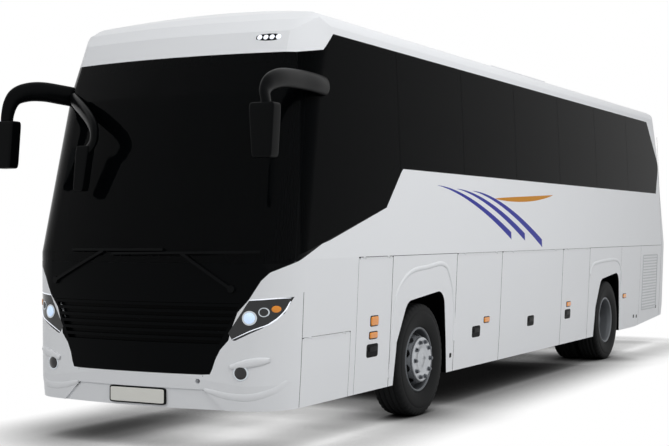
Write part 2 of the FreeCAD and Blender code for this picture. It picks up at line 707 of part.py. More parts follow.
# Front mask with its ribbed grille, lamps, and bumper.
mask_outline = [
    ("0", "scuttle_level"),
    ("mask_top_half", "scuttle_level"),
    ("mask_shoulder", "mask_shoulder_level"),
    ("mask_flank", "mask_flank_level"),
    ("lamp_inner", "lamp_inner_level"),
    ("lamp_nose", "lamp_nose_level"),
    ("mask_foot", "mask_foot_level"),
    ("0", "mask_foot_level"),
]
mask_block = front_block("MaskBlock", mask_outline, FAR_NOSE, "joint_top_back")
lamp_outline = [
    ("lamp_nose", "lamp_nose_level"),
    ("lamp_foot", "lamp_foot_level", "25"),
    ("lamp_belly", "lamp_belly_level"),
    ("lamp_heel", "lamp_heel_level", "30"),
    ("lamp_tip", "lamp_tip_level"),
    ("lamp_inner", "lamp_inner_level"),
]
lamp_block = front_block("LampBlock", lamp_outline, FAR_NOSE, "corner_line")


def layer(name, depth):
    """The skin's front layer, this deep along the bus."""
    return cut(name, outer_skin, moved(name + "Back", outer_skin, depth))


intake_layer = layer("IntakeLayer", "intake_depth")
slots = []
slot_count = int(value("rib_count")) + 1
for index in range(slot_count):
    low = f"grille_foot + {index} * rib_pitch"
    high = f"{low} + rib_pitch - rib_height" if index < slot_count - 1 else "grille_top"
    slots.append(brick(f"GrilleSlot{index}", "0", OUTSIDE, FAR_NOSE, "corner_line", low, high))
grille_outline = [
    ("0", "grille_foot"),
    ("grille_half_foot", "grille_foot"),
    ("grille_half_top", "grille_top"),
    ("0", "grille_top"),
]
grille_block = front_block("GrilleBlock", grille_outline, FAR_NOSE, "corner_line")
grille_slots = common("GrilleSlots", fuse("GrilleRows", *slots), grille_block, intake_layer)
mask_half = cut("FrontMaskHalf", common("FrontMaskShell", wall_shell, mask_block), grille_slots)
node("front_mask", joined("FrontMask", mask_half))

lamp_half = common("HeadlampHalf", layer("LampLayer", "lamp_depth"), lamp_block)
fog_rod = rod("FogRod", "y", "fog_across", FAR_NOSE, "fog_level", "fog_radius", "500")
fog_half = common("FogHalf", wall_shell, fog_rod)
lamp_pair = (lamp_half, mirrored("HeadlampRight", lamp_half), fog_half, mirrored("FogRight", fog_half))
node("headlamps", group("Headlamps", *lamp_pair))

bumper_outline = [*LAMP_SHOULDER, ("corner_line", BELOW), (FAR_NOSE, BELOW)]
bumper_block = side_block("BumperBlock", bumper_outline, "0")
plate_outline = [
    ("0", BELOW),
    ("plate_half_foot", BELOW),
    ("plate_half_foot", "skirt_bottom"),
    ("plate_half_top", "plate_top"),
    ("0", "plate_top"),
]
plate_block = front_block("PlateBlock", plate_outline, FAR_NOSE, "corner_line")
plate_layer = common("PlateRecess", layer("PlateLayer", "plate_recess"), plate_block)
tow_bore = rod("TowBore", "y", "tow_across", FAR_NOSE, "tow_level", "tow_radius", "900")
bumper_shell = common("BumperShell", wall_shell, bumper_block)
bumper_half = cut("BumperHalf", bumper_shell, mask_block, lamp_block, fog_rod, plate_layer)
bumper_whole = joined("BumperWhole", bumper_half)
node("front_bumper", cut("FrontBumper", bumper_whole, tow_bore))

# Lids hang by a pin in lugs under the panel above them, and swing up and out.
BELT_LEAN = "(bumper_tuck / (belt_level - bumper_level))"
LEFT_LIDS = (
    ("front_flap_left", "corner_line", "flap_line", "flap_top"),
    ("service_flap_left", "service_line", "arch_line_front", "belt_level"),
    ("luggage_lid_left_1", "arch_line_rear", "bay_line_one", "belt_level"),
    ("luggage_lid_left_2", "bay_line_one", BAY_LINE_TWO, "belt_level"),
    ("luggage_lid_left_3", BAY_LINE_TWO, BAY_LINE_THREE, "belt_level"),
)
RIGHT_LIDS = (
    ("luggage_lid_right_1", "arch_line_rear", "bay_line_one", "belt_level"),
    ("luggage_lid_right_2", "bay_line_one", BAY_LINE_TWO, "belt_level"),
)


def pin_across(top):
    """A lid's pin stands a millimetre outside the skin at the top of its opening."""
    return f"({HALF} - {BELT_LEAN} * (belt_level - {top}) + 1)"


def lug_places(front, rear):
    return [f"({front} + ({rear} - {front}) * {share})" for share in ("0.15", "0.85")]


def lid(name, front, rear, top):
    """A panel with its pin and the leaves that carry it, between the lugs."""
    start, end = f"({front} + lid_gap / 2)", f"({rear} - lid_gap / 2)"
    block = side_block(name + "Block", rectangle(start, end, BELOW, f"{top} - lid_drop"))
    panel = common(name + "Panel", wall_shell, block)
    x, level = pin_across(top), f"({top} - lid_drop / 2)"
    solids = [panel, rod(name + "Pin", "y", x, f"{start} + 20", level, "lid_pin", f"{end} - {start} - 40")]
    places = lug_places(front, rear)
    starts = [f"{start} + 20", *[f"{place} + 25" for place in places]]
    ends = [*[f"{place} - 25" for place in places], f"{end} - 20"]
    for index, (near, far) in enumerate(zip(starts, ends)):
        solids.append(brick(f"{name}Leaf{index}", f"{x} - 4", x, near, far, f"{top} - 2 * lid_drop", level))
    return fuse(name, *solids)


def lug_parts(name, front, rear, top):
    """Barrels and webs of one lid's lugs, and their bores."""
    x, level = pin_across(top), f"({top} - lid_drop / 2)"
    solids, bores = [], []
    for index, place in enumerate(lug_places(front, rear)):
        near, far = f"{place} - 20", f"{place} + 20"
        solids.append(rod(f"{name}Barrel{index}", "y", x, near, level, "lid_pin + 1.5", "40"))
        solids.append(brick(f"{name}Web{index}", f"{x} - 4", x, near, far, level, f"{top} + 3"))
        bores.append(rod(f"{name}Bore{index}", "y", x, f"{place} - 30", level, "lid_pin + running_gap", "60"))
    return solids, bores


def with_lugs(name, wall, lids):
    solids, bores = [], []
    for lid_name, *lines in lids:
        more, holes = lug_parts(name + lid_name, *lines)
        solids += more
        bores += holes
    return cut(name, fuse(name + "Lugged", wall, *solids), *bores)


for lid_name, *lines in LEFT_LIDS:
    node(lid_name, lid("Source" + lid_name, *lines))
for lid_name, *lines in RIGHT_LIDS:
    node(lid_name, mirrored("Mirrored" + lid_name, lid("Source" + lid_name, *lines)))

# Side walls above the belt, with the recess for the glass band and the windows cut.
corner_outline = [
    ("service_line", "belt_level"),
    (TAIL_LINE, "belt_level"),
    *REAR_JOINT,
    ("notch_top_back", "roof_seam"),
    *NOTCH,
    *JOINT[1:],
    (FAR_NOSE, "scuttle_level"),
    *LAMP_SHOULDER,
]
left_wall_outline = [
    *corner_outline,
    ("corner_line", "flap_top"),
    ("flap_line", "flap_top"),
    ("flap_line", BELOW),
    ("service_line", BELOW),
]
right_wall_outline = [*corner_outline, ("corner_line", BELOW), ("service_line", BELOW)]
left_band_outline = [
    *NOTCH,
    *JOINT[1:3],
    ("slope_mid_back", "slope_mid_level"),
    ("slope_top_back", "window_bottom"),
    *BAND_REAR,
]
DOOR_RAKE = "((joint_top_back - joint_mid_back) / (screen_top - joint_mid_level))"
BAND_OVER_DOOR = "(door_head + 3 * lid_gap)"
right_band_outline = [
    *NOTCH,
    (f"joint_top_back - {DOOR_RAKE} * (screen_top - {BAND_OVER_DOOR})", BAND_OVER_DOOR),
    ("service_line + 2 * lid_gap", BAND_OVER_DOOR),
    ("service_line + 2 * lid_gap", "window_bottom"),
    *BAND_REAR,
]
left_band = side_block("LeftBand", left_band_outline)
right_band = side_block("RightBand", right_band_outline)

PANES = max(2, int((value(BAND_FOOT_END) - value("pane_start")) / value("pane_pitch")))
PANE_JOINTS = [f"(pane_start + {index} * pane_pitch)" for index in range(PANES)]
SLIT = "pane_gap / 2"
pane_slits = [
    brick(f"PaneSlit{index}", "300", OUTSIDE, f"{place} - {SLIT}", f"{place} + {SLIT}", "0", ABOVE)
    for index, place in enumerate(PANE_JOINTS)
]
SILL = "(window_bottom + window_frame)"
HEADER = "(window_top - window_frame)"


def window(name, corners):
    return side_block(name, [(*corner, "window_round") for corner in corners])


windows = []
for index in range(PANES - 1):
    near = f"{PANE_JOINTS[index]} + pillar_half"
    far = f"{PANE_JOINTS[index + 1]} - pillar_half"
    windows.append(window(f"Window{index}", rectangle(near, far, SILL, HEADER)))
last = f"{PANE_JOINTS[-1]} + pillar_half"
last_outline = [
    (last, SILL),
    (f"{BAND_FOOT_END} - window_frame", SILL),
    (f"{BAND_MID_END} - 1.7 * window_frame", "band_mid_level"),
    (f"{BAND_TOP_END} - window_frame", HEADER),
    (last, HEADER),
]
windows.append(window("WindowLast", last_outline))
driver_outline = [
    ("joint_mid_back + 1.5 * window_frame", "joint_mid_level"),
    ("joint_foot_back + 1.7 * window_frame", "joint_foot_level + 2 * window_frame"),
    ("slope_mid_back - window_frame", "slope_mid_level + 1.5 * window_frame"),
    ("slope_top_back - 3 * window_frame", f"{SILL} - window_frame / 2"),
    ("pane_start - pillar_half", HEADER),
    ("notch_top_back + window_frame / 2", HEADER),
    ("notch_foot_back", "notch_foot_level - window_frame"),
    ("joint_top_back + window_frame", "screen_top - 1.5 * window_frame"),
]
driver_window = side_block("DriverWindow", driver_outline)
entry_front = "service_line + 3 * lid_gap + window_frame"
entry_window = window("EntryWindow", rectangle(entry_front, "pane_start - pillar_half", SILL, HEADER))


def wall_half(name, corners, band, *openings):
    panel = common(name + "Panel", wall_shell, side_block(name + "Block", corners, "0"))
    recess = common(name + "Recess", glass_shell, band)
    return cut(name, panel, recess, mask_block, lamp_block, *openings)


def pane_set(name, band):
    return cut(name, common(name + "Band", glass_shell, band), *pane_slits)


left_wall = wall_half("LeftWallPanel", left_wall_outline, left_band, driver_window, *windows)
node("side_wall_left", with_lugs("SideWallLeft", left_wall, LEFT_LIDS))
node("side_glass_left", pane_set("SideGlassLeft", left_band))

# Doors on the right side, drawn on the left and mirrored. Each hangs from an upright post by
# two arms that swing it out and rearward.
DOOR_REAR = "(service_line - lid_gap)"


def door_corners(margin, foot, head):
    """The front door's outline, its front edge raked like the windscreen joint."""
    low = f"door_front + {margin}"
    top = f"{low} + {DOOR_RAKE} * ({head} - joint_mid_level)"
    rear = f"{DOOR_REAR} - ({margin})"
    return [(low, foot), (low, "joint_mid_level"), (top, head), (rear, head), (rear, foot)]


front_door_block = side_block("FrontDoorBlock", door_corners("0", "door_foot", "door_head"))
front_door_opening = side_block("FrontDoorOpening", door_corners("-lid_gap", BELOW, "door_head + lid_gap"))
mid_door_corners = rectangle(MID_DOOR_FRONT, MID_DOOR_REAR, "door_foot", "mid_door_head")
mid_door_block = side_block("MidDoorBlock", mid_door_corners)
mid_opening_corners = rectangle(
    f"{MID_DOOR_FRONT} - lid_gap", f"{MID_DOOR_REAR} + lid_gap", BELOW, "mid_door_head + lid_gap"
)
mid_door_opening = side_block("MidDoorOpening", mid_opening_corners)
right_openings = (front_door_opening, mid_door_opening, entry_window, *windows)
right_wall = wall_half("RightWallPanel", right_wall_outline, right_band, *right_openings)
node("side_wall_right", mirrored("SideWallRight", with_lugs("RightWallSource", right_wall, RIGHT_LIDS)))
node("side_glass_right", mirrored("SideGlassRight", pane_set("RightGlassSource", right_band)))

glass_corners = door_corners("door_border", "door_glass_foot", "door_head - door_border")
door_glass_block = side_block("DoorGlassBlock", glass_corners)
FRAME_MARGIN = "(door_border + window_frame)"
window_corners = door_corners(FRAME_MARGIN, "door_glass_foot + window_frame", f"door_head - {FRAME_MARGIN}")
door_window = side_block("DoorWindow", window_corners)
door_glass = common("DoorGlassSource", glass_shell, door_glass_block)
node("front_door_glass", mirrored("FrontDoorGlass", door_glass))

POST_ACROSS = f"({HALF} - swing_post_inset)"
PIN_ACROSS = f"({POST_ACROSS} + swing_arm * cos(swing_rest))"
ARM_LEVELS = ("(belt_level - 250)", "(belt_level + 250)")
ARM_THICK = "16"
CLEVIS_GAP = "6"


def arm_tip(rear):
    return f"({rear} - swing_post_back - swing_arm * sin(swing_rest))"


def swing_arm(name, rear, level):
    """A flat arm from the post to the leaf's pin, at rest."""
    bar = doc.addObject("Part::Box", name + "Bar")
    bind(bar, "Length", "swing_arm")
    bind(bar, "Width", "1.5 * post_radius")
    bind(bar, "Height", ARM_THICK)
    bind(bar, ".Placement.Base.y", "-0.75 * post_radius")
    arm = group(name, bar)
    turn = FreeCAD.Rotation(FreeCAD.Vector(0, 0, -1), value("swing_rest"))
    arm.Placement = FreeCAD.Placement(FreeCAD.Vector(), turn)
    bind(arm, ".Placement.Rotation.Angle", "swing_rest")
    bind(arm, ".Placement.Base.x", POST_ACROSS)
    bind(arm, ".Placement.Base.y", f"{FRONT_AXLE} + {rear} - swing_post_back")
    bind(arm, ".Placement.Base.z", level)
    return arm


def swing_post(name, rear, head):
    """A post with two arms, each with an eye for the leaf's pin."""
    place, tip = f"({rear} - swing_post_back)", arm_tip(rear)
    solids = [rod(name + "Shaft", "z", POST_ACROSS, place, "post_foot", "post_radius", f"{head} - post_foot")]
    eyes = []
    for index, level in enumerate(ARM_LEVELS):
        solids.append(swing_arm(f"{name}Arm{index}", rear, level))
        solids.append(rod(f"{name}Eye{index}", "z", PIN_ACROSS, tip, level, "2.2 * swing_pin", ARM_THICK))
        eyes.append(
            rod(f"{name}Bore{index}", "z", PIN_ACROSS, tip, f"{level} - 5", "swing_pin + running_gap", "50")
        )
    return cut(name, fuse(name + "Joined", *solids), *eyes)


def leaf_brackets(name, front, rear):
    """Brackets on the leaf's inner face, each with a pin down through an arm's eye."""
    tip = arm_tip(rear)
    solids = []
    for index, level in enumerate(ARM_LEVELS):
        foot = f"({level} + {ARM_THICK} + {CLEVIS_GAP})"
        inner, outer = f"{PIN_ACROSS} - 2 * swing_pin", f"{HALF} - wall_thickness / 2"
        near, far = f"{front} + 35", f"{tip} + 2 * swing_pin"
        solids.append(brick(f"{name}Plate{index}", inner, outer, near, far, foot, f"{foot} + 16"))
        solids.append(
            rod(
                f"{name}Pin{index}",
                "z",
                PIN_ACROSS,
                tip,
                f"{level} - 2",
                "swing_pin",
                f"{foot} - {level} + 10",
            ),
        )
    return solids


FRONT_POST_HEAD = "(door_head - 50)"
MID_POST_HEAD = "(mid_door_head - 50)"
front_post = swing_post("FrontPostSource", DOOR_REAR, FRONT_POST_HEAD)
node("front_door_post", mirrored("FrontDoorPost", front_post))
leaf_shell = common("FrontLeafShell", wall_shell, front_door_block)
leaf_recess = common("FrontLeafRecess", glass_shell, door_glass_block)
leaf_open = cut("FrontLeafOpen", leaf_shell, leaf_recess, door_window)
front_leaf = fuse("FrontLeafSource", leaf_open, *leaf_brackets("FrontBracket", "door_front", DOOR_REAR))
node("front_door_leaf", mirrored("FrontDoorLeaf", front_leaf))
mid_post = swing_post("MidPostSource", MID_DOOR_REAR, MID_POST_HEAD)
node("middle_door_post", mirrored("MiddleDoorPost", mid_post))
mid_shell = common("MidLeafShell", wall_shell, mid_door_block)
mid_leaf = fuse("MidLeafSource", mid_shell, *leaf_brackets("MidBracket", MID_DOOR_FRONT, MID_DOOR_REAR))
node("middle_door_leaf", mirrored("MiddleDoorLeaf", mid_leaf))


def door_bearing(name, rear, level):
    """A block round the post that reaches the wall behind the door's rear edge."""
    place, jamb = f"({rear} - swing_post_back)", f"({rear} + lid_gap)"
    inner, high = f"{POST_ACROSS} - 45", f"{level} + 30"
    block = brick(name + "Block", inner, f"{POST_ACROSS} + 24", f"{place} - 40", f"{jamb} + 80", level, high)
    foot = brick(name + "Foot", inner, OUTSIDE, f"{jamb} + 10", f"{jamb} + 80", level, high)
    seat = common(name + "Seat", fuse(name + "Joined", block, foot), inner_skin)
    bore = rod(name + "Bore", "z", POST_ACROSS, place, f"{level} - 50", "post_radius + running_gap", "200")
    return cut(name, seat, bore)


bearings = []
for name, rear, head in (
    ("FrontBearing", DOOR_REAR, FRONT_POST_HEAD), ("MidBearing", MID_DOOR_REAR, MID_POST_HEAD)
):
    bearings.append(door_bearing(name + "Low", rear, "(post_foot + 20)"))
    bearings.append(door_bearing(name + "High", rear, f"({head} - 50)"))
node("door_bearings", mirrored("DoorBearings", group("BearingSources", *bearings)))

# Fixed panels below the belt, with the wheel arches cut.
kink_outline = [
    (KINK_LINE, "skirt_bottom"),
    (FAR_TAIL, f"skirt_bottom + kink_rise * ({FAR_TAIL} - {KINK_LINE}) / ({TAIL_LINE} - {KINK_LINE})"),
    (FAR_TAIL, BELOW),
    (KINK_LINE, BELOW),
]
kink_block = side_block("KinkBlock", kink_outline, "0")


def arch_block(name, axle):
    return side_block(name, [
        (f"{axle} - arch_front_foot", BELOW),
        (f"{axle} - arch_front_knee", "arch_knee_level"),
        (f"{axle} - arch_front_brow", "arch_brow_level", "arch_round"),
        (f"{axle} + arch_rear_brow", "arch_top_level", "arch_round"),
        (f"{axle} + arch_rear_foot", BELOW),
    ])


arches = (arch_block("FrontArch", "0"), arch_block("RearArch", "wheelbase"))


def skirt_panel(name, near, far):
    block = side_block(name + "Block", rectangle(near, far, BELOW, "belt_level"))
    return cut(name, common(name + "Panel", wall_shell, block), kink_block, *arches)


HALF_GAP = "lid_gap / 2"
SEAM = "panel_gap / 2"
shared_skirts = [
    skirt_panel("FrontArchPanel", f"arch_line_front + {HALF_GAP}", f"arch_line_rear - {HALF_GAP}"),
    skirt_panel("EnginePanel", f"{REAR_ARCH_LINE} + {SEAM}", f"{GRILLE_LINE} - {SEAM}"),
    skirt_panel("RadiatorPanel", f"{GRILLE_LINE} + {SEAM}", TAIL_LINE),
]
left_rear_arch = skirt_panel(
    "LeftRearArchPanel", f"{BAY_LINE_THREE} + {HALF_GAP}", f"{REAR_ARCH_LINE} - {SEAM}"
)
node("skirt_panels_left", group("SkirtPanelsLeft", *shared_skirts, left_rear_arch))
right_skirts = [
    *shared_skirts,
    skirt_panel("RightRearArchPanel", f"{MID_DOOR_REAR} + lid_gap", f"{REAR_ARCH_LINE} - {SEAM}"),
    skirt_panel("RightServicePanel", "service_line", f"arch_line_front - {HALF_GAP}"),
]
node("skirt_panels_right", mirrored("SkirtPanelsRight", group("RightSkirtSources", *right_skirts)))

# Tail: panel, rear window, lamps and engine lid.
rear_outline = [(TAIL_LINE, BELOW), *REAR_JOINT, (FAR_TAIL, "roof_seam"), (FAR_TAIL, BELOW)]
rear_block = side_block("RearBlock", rear_outline, "0")
rear_glass_corners = rectangle("-rear_glass_half", "rear_glass_half", "window_bottom", "rear_glass_top")
rear_glass_corners = [(*corner, "90") for corner in rear_glass_corners]
rear_glass_block = front_block("RearGlassBlock", rear_glass_corners, TAIL_LINE, FAR_TAIL)
border = "window_frame"
rear_window_corners = rectangle(
    f"{border} - rear_glass_half",
    f"rear_glass_half - {border}",
    f"window_bottom + {border}",
    f"rear_glass_top - {border}",
)
rear_window_corners = [(*corner, "60") for corner in rear_window_corners]
rear_window = front_block("RearWindow", rear_window_corners, TAIL_LINE, FAR_TAIL)
rear_glass_half = common("RearGlassHalf", glass_shell, rear_glass_block)
node("rear_glass", joined("RearGlass", rear_glass_half))
lamp_corners = rectangle("tail_lamp_inner", "tail_lamp_outer", "tail_lamp_foot", "tail_lamp_top")
tail_lamp_block = front_block("TailLampBlock", lamp_corners, TAIL_LINE, FAR_TAIL)
tail_lamp = common("TailLampHalf", wall_shell, tail_lamp_block)
node("tail_lamps", group("TailLamps", tail_lamp, mirrored("TailLampRight", tail_lamp)))
engine_hole_corners = rectangle(
    "-engine_half - lid_gap",
    "engine_half + lid_gap",
    "engine_foot - lid_gap",
    "engine_top",
)
engine_hole = front_block("EngineHole", engine_hole_corners, TAIL_LINE, FAR_TAIL)
engine_corners = rectangle("-engine_half", "engine_half", "engine_foot", "engine_top - lid_drop")
engine_block = front_block("EngineBlockOutline", engine_corners, TAIL_LINE, FAR_TAIL)
REAR_RAKE = "((rear_brow_setback - rear_belt_setback) / (brow_level - belt_level))"
ENGINE_PIN_BACK = f"({TAIL} - rear_belt_setback - {REAR_RAKE} * (engine_top - belt_level) + 1)"
ENGINE_PIN_LEVEL = "(engine_top - lid_drop / 2)"
REAR_LUG = "280"
rear_shell = common("RearShell", wall_shell, rear_block)
rear_recess = common("RearRecess", glass_shell, rear_glass_block)
rear_half = cut("RearHalf", rear_shell, rear_recess, rear_window, engine_hole, tail_lamp_block, kink_block)
rear_whole = joined("RearWhole", rear_half)
rear_lugs = []
rear_bores = []
for index, side in enumerate((f"-{REAR_LUG}", REAR_LUG)):
    start = f"{side} - 20"
    rear_lugs.append(
        rod(f"RearBarrel{index}", "x", start, ENGINE_PIN_BACK, ENGINE_PIN_LEVEL, "lid_pin + 1.5", "40")
    )
    near = f"{ENGINE_PIN_BACK} - 16"
    rear_lugs.append(
        brick(
            f"RearWeb{index}",
            start,
            f"{side} + 20",
            near,
            ENGINE_PIN_BACK,
            ENGINE_PIN_LEVEL,
            "engine_top + 12",
        ),
    )
    rear_bores.append(
        rod(
            f"RearBore{index}",
            "x",
            f"{side} - 30",
            ENGINE_PIN_BACK,
            ENGINE_PIN_LEVEL,
            "lid_pin + running_gap",
            "60",
        ),
    )
rear_tow = rod("RearTowBore", "y", "0", f"{TAIL} - 300", "tow_level", "tow_radius", "500")
node("rear_panel", cut("RearPanel", fuse("RearLugged", rear_whole, *rear_lugs), *rear_bores, rear_tow))
engine_half_panel = common("EngineLidHalf", wall_shell, engine_block)
engine_parts = [joined("EngineLidPanel", engine_half_panel)]
engine_parts.append(rod("EnginePin", "x", "-370", ENGINE_PIN_BACK, ENGINE_PIN_LEVEL, "lid_pin", "740"))
for index, (near, far) in enumerate(
    (("-370", f"-{REAR_LUG} - 25"), (f"-{REAR_LUG} + 25", f"{REAR_LUG} - 25"), (f"{REAR_LUG} + 25", "370"))
):
    low = "engine_top - lid_drop - 12"
    engine_parts.append(
        brick(
            f"EngineLeaf{index}",
            near,
            far,
            f"{ENGINE_PIN_BACK} - 10",
            ENGINE_PIN_BACK,
            low,
            ENGINE_PIN_LEVEL,
        ),
    )
node("engine_lid", fuse("EngineLid", *engine_parts))

# Roof unit on the crown.
unit_side = [
    ("3200", "crown_height - 150"),
    ("5600", "crown_height - 150"),
    ("5600", "crown_height + 30"),
    ("5350", "crown_height + 90", "60"),
    ("3450", "crown_height + 90", "60"),
    ("3200", "crown_height + 30"),
]
unit_block = side_block("UnitBlock", unit_side, "-600", "600")
whole_skin = joined("OuterWhole", outer_skin)
node("roof_air_unit", cut("RoofAirUnit", unit_block, whole_skin))

# Floors and bulkheads.
FRONT_BULKHEAD = "(arch_line_rear - 24)"
REAR_BULKHEAD = f"({BAY_LINE_THREE} + 8)"


def inside(name, *things):
    """Things trimmed to the space inside the walls."""
    whole = things[0] if len(things) == 1 else fuse(name + "Joined", *things)
    return common(name, whole, cabin_space)


WELL_FRONT = f"({MID_DOOR_FRONT} - 30)"
WELL_REAR = f"({MID_DOOR_REAR} + 30)"
WELL_OUTER = f"-({HALF} - swing_post_inset - 58)"
deck_under = "(deck_top - deck_thickness)"
deck = brick("Deck", "-deck_half", "deck_half", "deck_front", DECK_REAR, deck_under, "deck_top")
well_hole = brick("WellHole", "-deck_half - 10", "-500", WELL_FRONT, WELL_REAR, "bay_floor", "deck_top + 10")
node("floor_deck", cut("FloorDeck", deck, well_hole))
bulkheads = []
for name, place in (("FrontBulkhead", FRONT_BULKHEAD), ("RearBulkhead", REAR_BULKHEAD)):
    plate = brick(name, f"-{OUTSIDE}", OUTSIDE, place, f"{place} + sheet_thickness", "door_foot", deck_under)
    bulkheads.append(inside(name + "Fit", plate))
bay_start = f"{FRONT_BULKHEAD} + sheet_thickness"
bay_end = REAR_BULKHEAD
bay_plate = brick("BayFloor", "-bay_half", "bay_half", bay_start, bay_end, "bay_floor - 80", "bay_floor")
well_front = brick(
    "WellFront", WELL_OUTER, "-500", f"{WELL_FRONT} - sheet_thickness", WELL_FRONT, "bay_floor", deck_under
)
well_rear = brick(
    "WellRear", WELL_OUTER, "-500", WELL_REAR, f"{WELL_REAR} + sheet_thickness", "bay_floor", deck_under
)
well_side = brick(
    "WellSide", "-500 - sheet_thickness", "-500", WELL_FRONT, WELL_REAR, "bay_floor", deck_under
)
mid_steps = []
for index in range(3):
    low = f"bay_floor + {index} * 260"
    step = brick(
        f"MidStep{index}",
        f"-1000 + {index} * 160",
        "-500 - sheet_thickness",
        WELL_FRONT,
        WELL_REAR,
        low,
        f"{low} + 260",
    )
    mid_steps.append(step)
node(
    "bay_bulkheads",
    fuse("BayBulkheads", *bulkheads, bay_plate, well_front, well_rear, well_side, *mid_steps),
)
ENTRY_INNER = "-(rail_across + rail_half)"
platform_half = brick(
    "DriverPlatform", ENTRY_INNER, OUTSIDE, "-2600", "deck_front", "cab_floor - deck_thickness", "cab_floor"
)
riser = brick(
    "DeckRiser",
    ENTRY_INNER,
    "deck_half",
    "deck_front - sheet_thickness",
    "deck_front",
    "cab_floor",
    "deck_top",
)
entry_parts = [platform_half, riser]
entry_parts.append(brick("EntryFloor", "-1110", ENTRY_INNER, "-2600", "-1450", "bay_floor - 40", "bay_floor"))
for index in range(4):
    low = f"bay_floor + {index} * 265"
    near, far = f"-1450 + {index} * 130", "deck_front"
    entry_parts.append(brick(f"EntryStep{index}", WELL_OUTER, ENTRY_INNER, near, far, low, f"{low} + 265"))
node("cab_floor_steps", cut("CabFloorSteps", inside("CabFloorTrim", *entry_parts), *lamp_pair[:2]))

# Chassis rails, cross beams, and wheel housings.
frame_parts = []
for side, sign in (("Left", ""), ("Right", "-")):
    near = f"{sign}rail_across - rail_half"
    far = f"{sign}rail_across + rail_half"
    frame_parts.append(
        brick(f"FrontRail{side}", near, far, FAR_NOSE, FRONT_BULKHEAD, "rail_low", "rail_high")
    )
    frame_parts.append(
        brick(
            f"RearRail{side}",
            near,
            far,
            f"{REAR_BULKHEAD} + sheet_thickness",
            FAR_TAIL,
            "rail_low",
            "rail_high",
        ),
    )
    for end, place in (("Front", "-1700"), ("Rear", f"{TAIL} - 1150")):
        pad_near, pad_far = f"{sign}rail_across - pad_half", f"{sign}rail_across + pad_half"
        pad_low = "rail_low - pad_drop"
        frame_parts.append(
            brick(
                f"JackPad{end}{side}",
                pad_near,
                pad_far,
                f"{place} - pad_half",
                f"{place} + pad_half",
                pad_low,
                "rail_low",
            )
        )
for index, place in enumerate(
    ("-2300", "-900", "600", "wheelbase - 650", "wheelbase + 850", f"{TAIL} - 490")
):
    frame_parts.append(
        brick(
            f"CrossBeam{index}",
            "-rail_across",
            "rail_across",
            place,
            f"{place} + 60",
            "rail_low + 20",
            "rail_high - 20",
        ),
    )
node("underframe", common("Underframe", fuse("UnderframeJoined", *frame_parts), cabin_space))


def housing(name, axle, wall):
    """A box over one wheel, open below and outward."""
    side = "sheet_thickness"
    outer = brick(
        name + "Outer",
        wall,
        OUTSIDE,
        f"{axle} - housing_half",
        f"{axle} + housing_half",
        "rail_low",
        "housing_top",
    )
    inner = brick(
        name + "Inner",
        f"{wall} + {side}",
        f"{OUTSIDE} + 50",
        f"{axle} - housing_half + {side}",
        f"{axle} + housing_half - {side}",
        "500",
        f"housing_top - {side}",
    )
    box = common(name + "Trim", cut(name, outer, inner), inner_skin)
    return [box, mirrored(name + "Right", box)]


housings = [
    *housing("FrontHousing", "0", "housing_front_wall - sheet_thickness"),
    *housing("RearHousing", "wheelbase", "housing_rear_wall - sheet_thickness"),
]
node("wheel_housings", group("WheelHousings", *housings))

# Engine, axles and air springs.
RAIL_INNER = "(rail_across - rail_half)"
node(
    "engine_block",
    brick(
        "EngineBlock",
        f"-{RAIL_INNER}",
        RAIL_INNER,
        f"{TAIL} - 1950",
        f"{TAIL} - 550",
        "rail_low + 60",
        "1400",
    ),
)
AXLE = "tyre_radius"
beam = [
    brick("BeamMiddle", "-kingpin_across + 30", "kingpin_across - 30", "-50", "50", "beam_low", "beam_high")
]
eye_bores = []
for side, x in (("Left", "kingpin_across"), ("Right", "-kingpin_across")):
    beam.append(rod(f"BeamEye{side}", "z", x, "0", "beam_low - 20", "45", "beam_high - beam_low + 40"))
    eye_bores.append(
        rod(f"BeamBore{side}", "z", x, "0", "beam_low - 100", "kingpin_radius + running_gap", "400")
    )
node("front_axle_beam", cut("FrontAxleBeam", fuse("BeamJoined", *beam), *eye_bores))
REAR_HUB_INNER = "(tyre_face - tyre_width / 2 - 1.1 * twin_pitch)"
tube = rod(
    "AxleTube", "x", f"-{REAR_HUB_INNER} + 5", "wheelbase", AXLE, "axle_tube", f"2 * ({REAR_HUB_INNER} - 5)"
)
spindle_end = "(tyre_face - tyre_width / 2)"
rear_spindle = rod(
    "RearSpindle", "x", f"-{spindle_end}", "wheelbase", AXLE, "rear_spindle", f"2 * {spindle_end}"
)
differential = rod("Differential", "y", "0", "wheelbase - 230", AXLE, "1.9 * axle_tube", "400")
arm_pieces = []
for side, x in (("Left", "rail_across"), ("Right", "-rail_across")):
    near, far = f"{x} - 50", f"{x} + 50"
    low = f"({AXLE} - axle_tube - 40)"
    arm_pieces.append(
        brick(f"RearArm{side}", near, far, "wheelbase - 480", "wheelbase + 480", low, f"{low} + 50")
    )
    arm_pieces.append(brick(f"RearSaddle{side}", near, far, "wheelbase - 60", "wheelbase + 60", low, AXLE))
node("rear_axle_housing", fuse("RearAxleHousing", tube, rear_spindle, differential, *arm_pieces))
springs = []
for side, x in (("Left", "rail_across"), ("Right", "-rail_across")):
    springs.append(rod(f"FrontSpring{side}", "z", x, "0", "beam_high", "110", "rail_low - beam_high"))
    for place, y in (("Ahead", "wheelbase - 360"), ("Behind", "wheelbase + 360")):
        low = f"({AXLE} - axle_tube + 10)"
        springs.append(rod(f"RearSpring{side}{place}", "z", x, y, low, "110", f"rail_low - {low}"))
node("air_springs", group("AirSprings", *springs))
TANK_ACROSS = "(rail_across + rail_half + 120)"
RAIL_MIDDLE = "((rail_low + rail_high) / 2)"
tanks = []
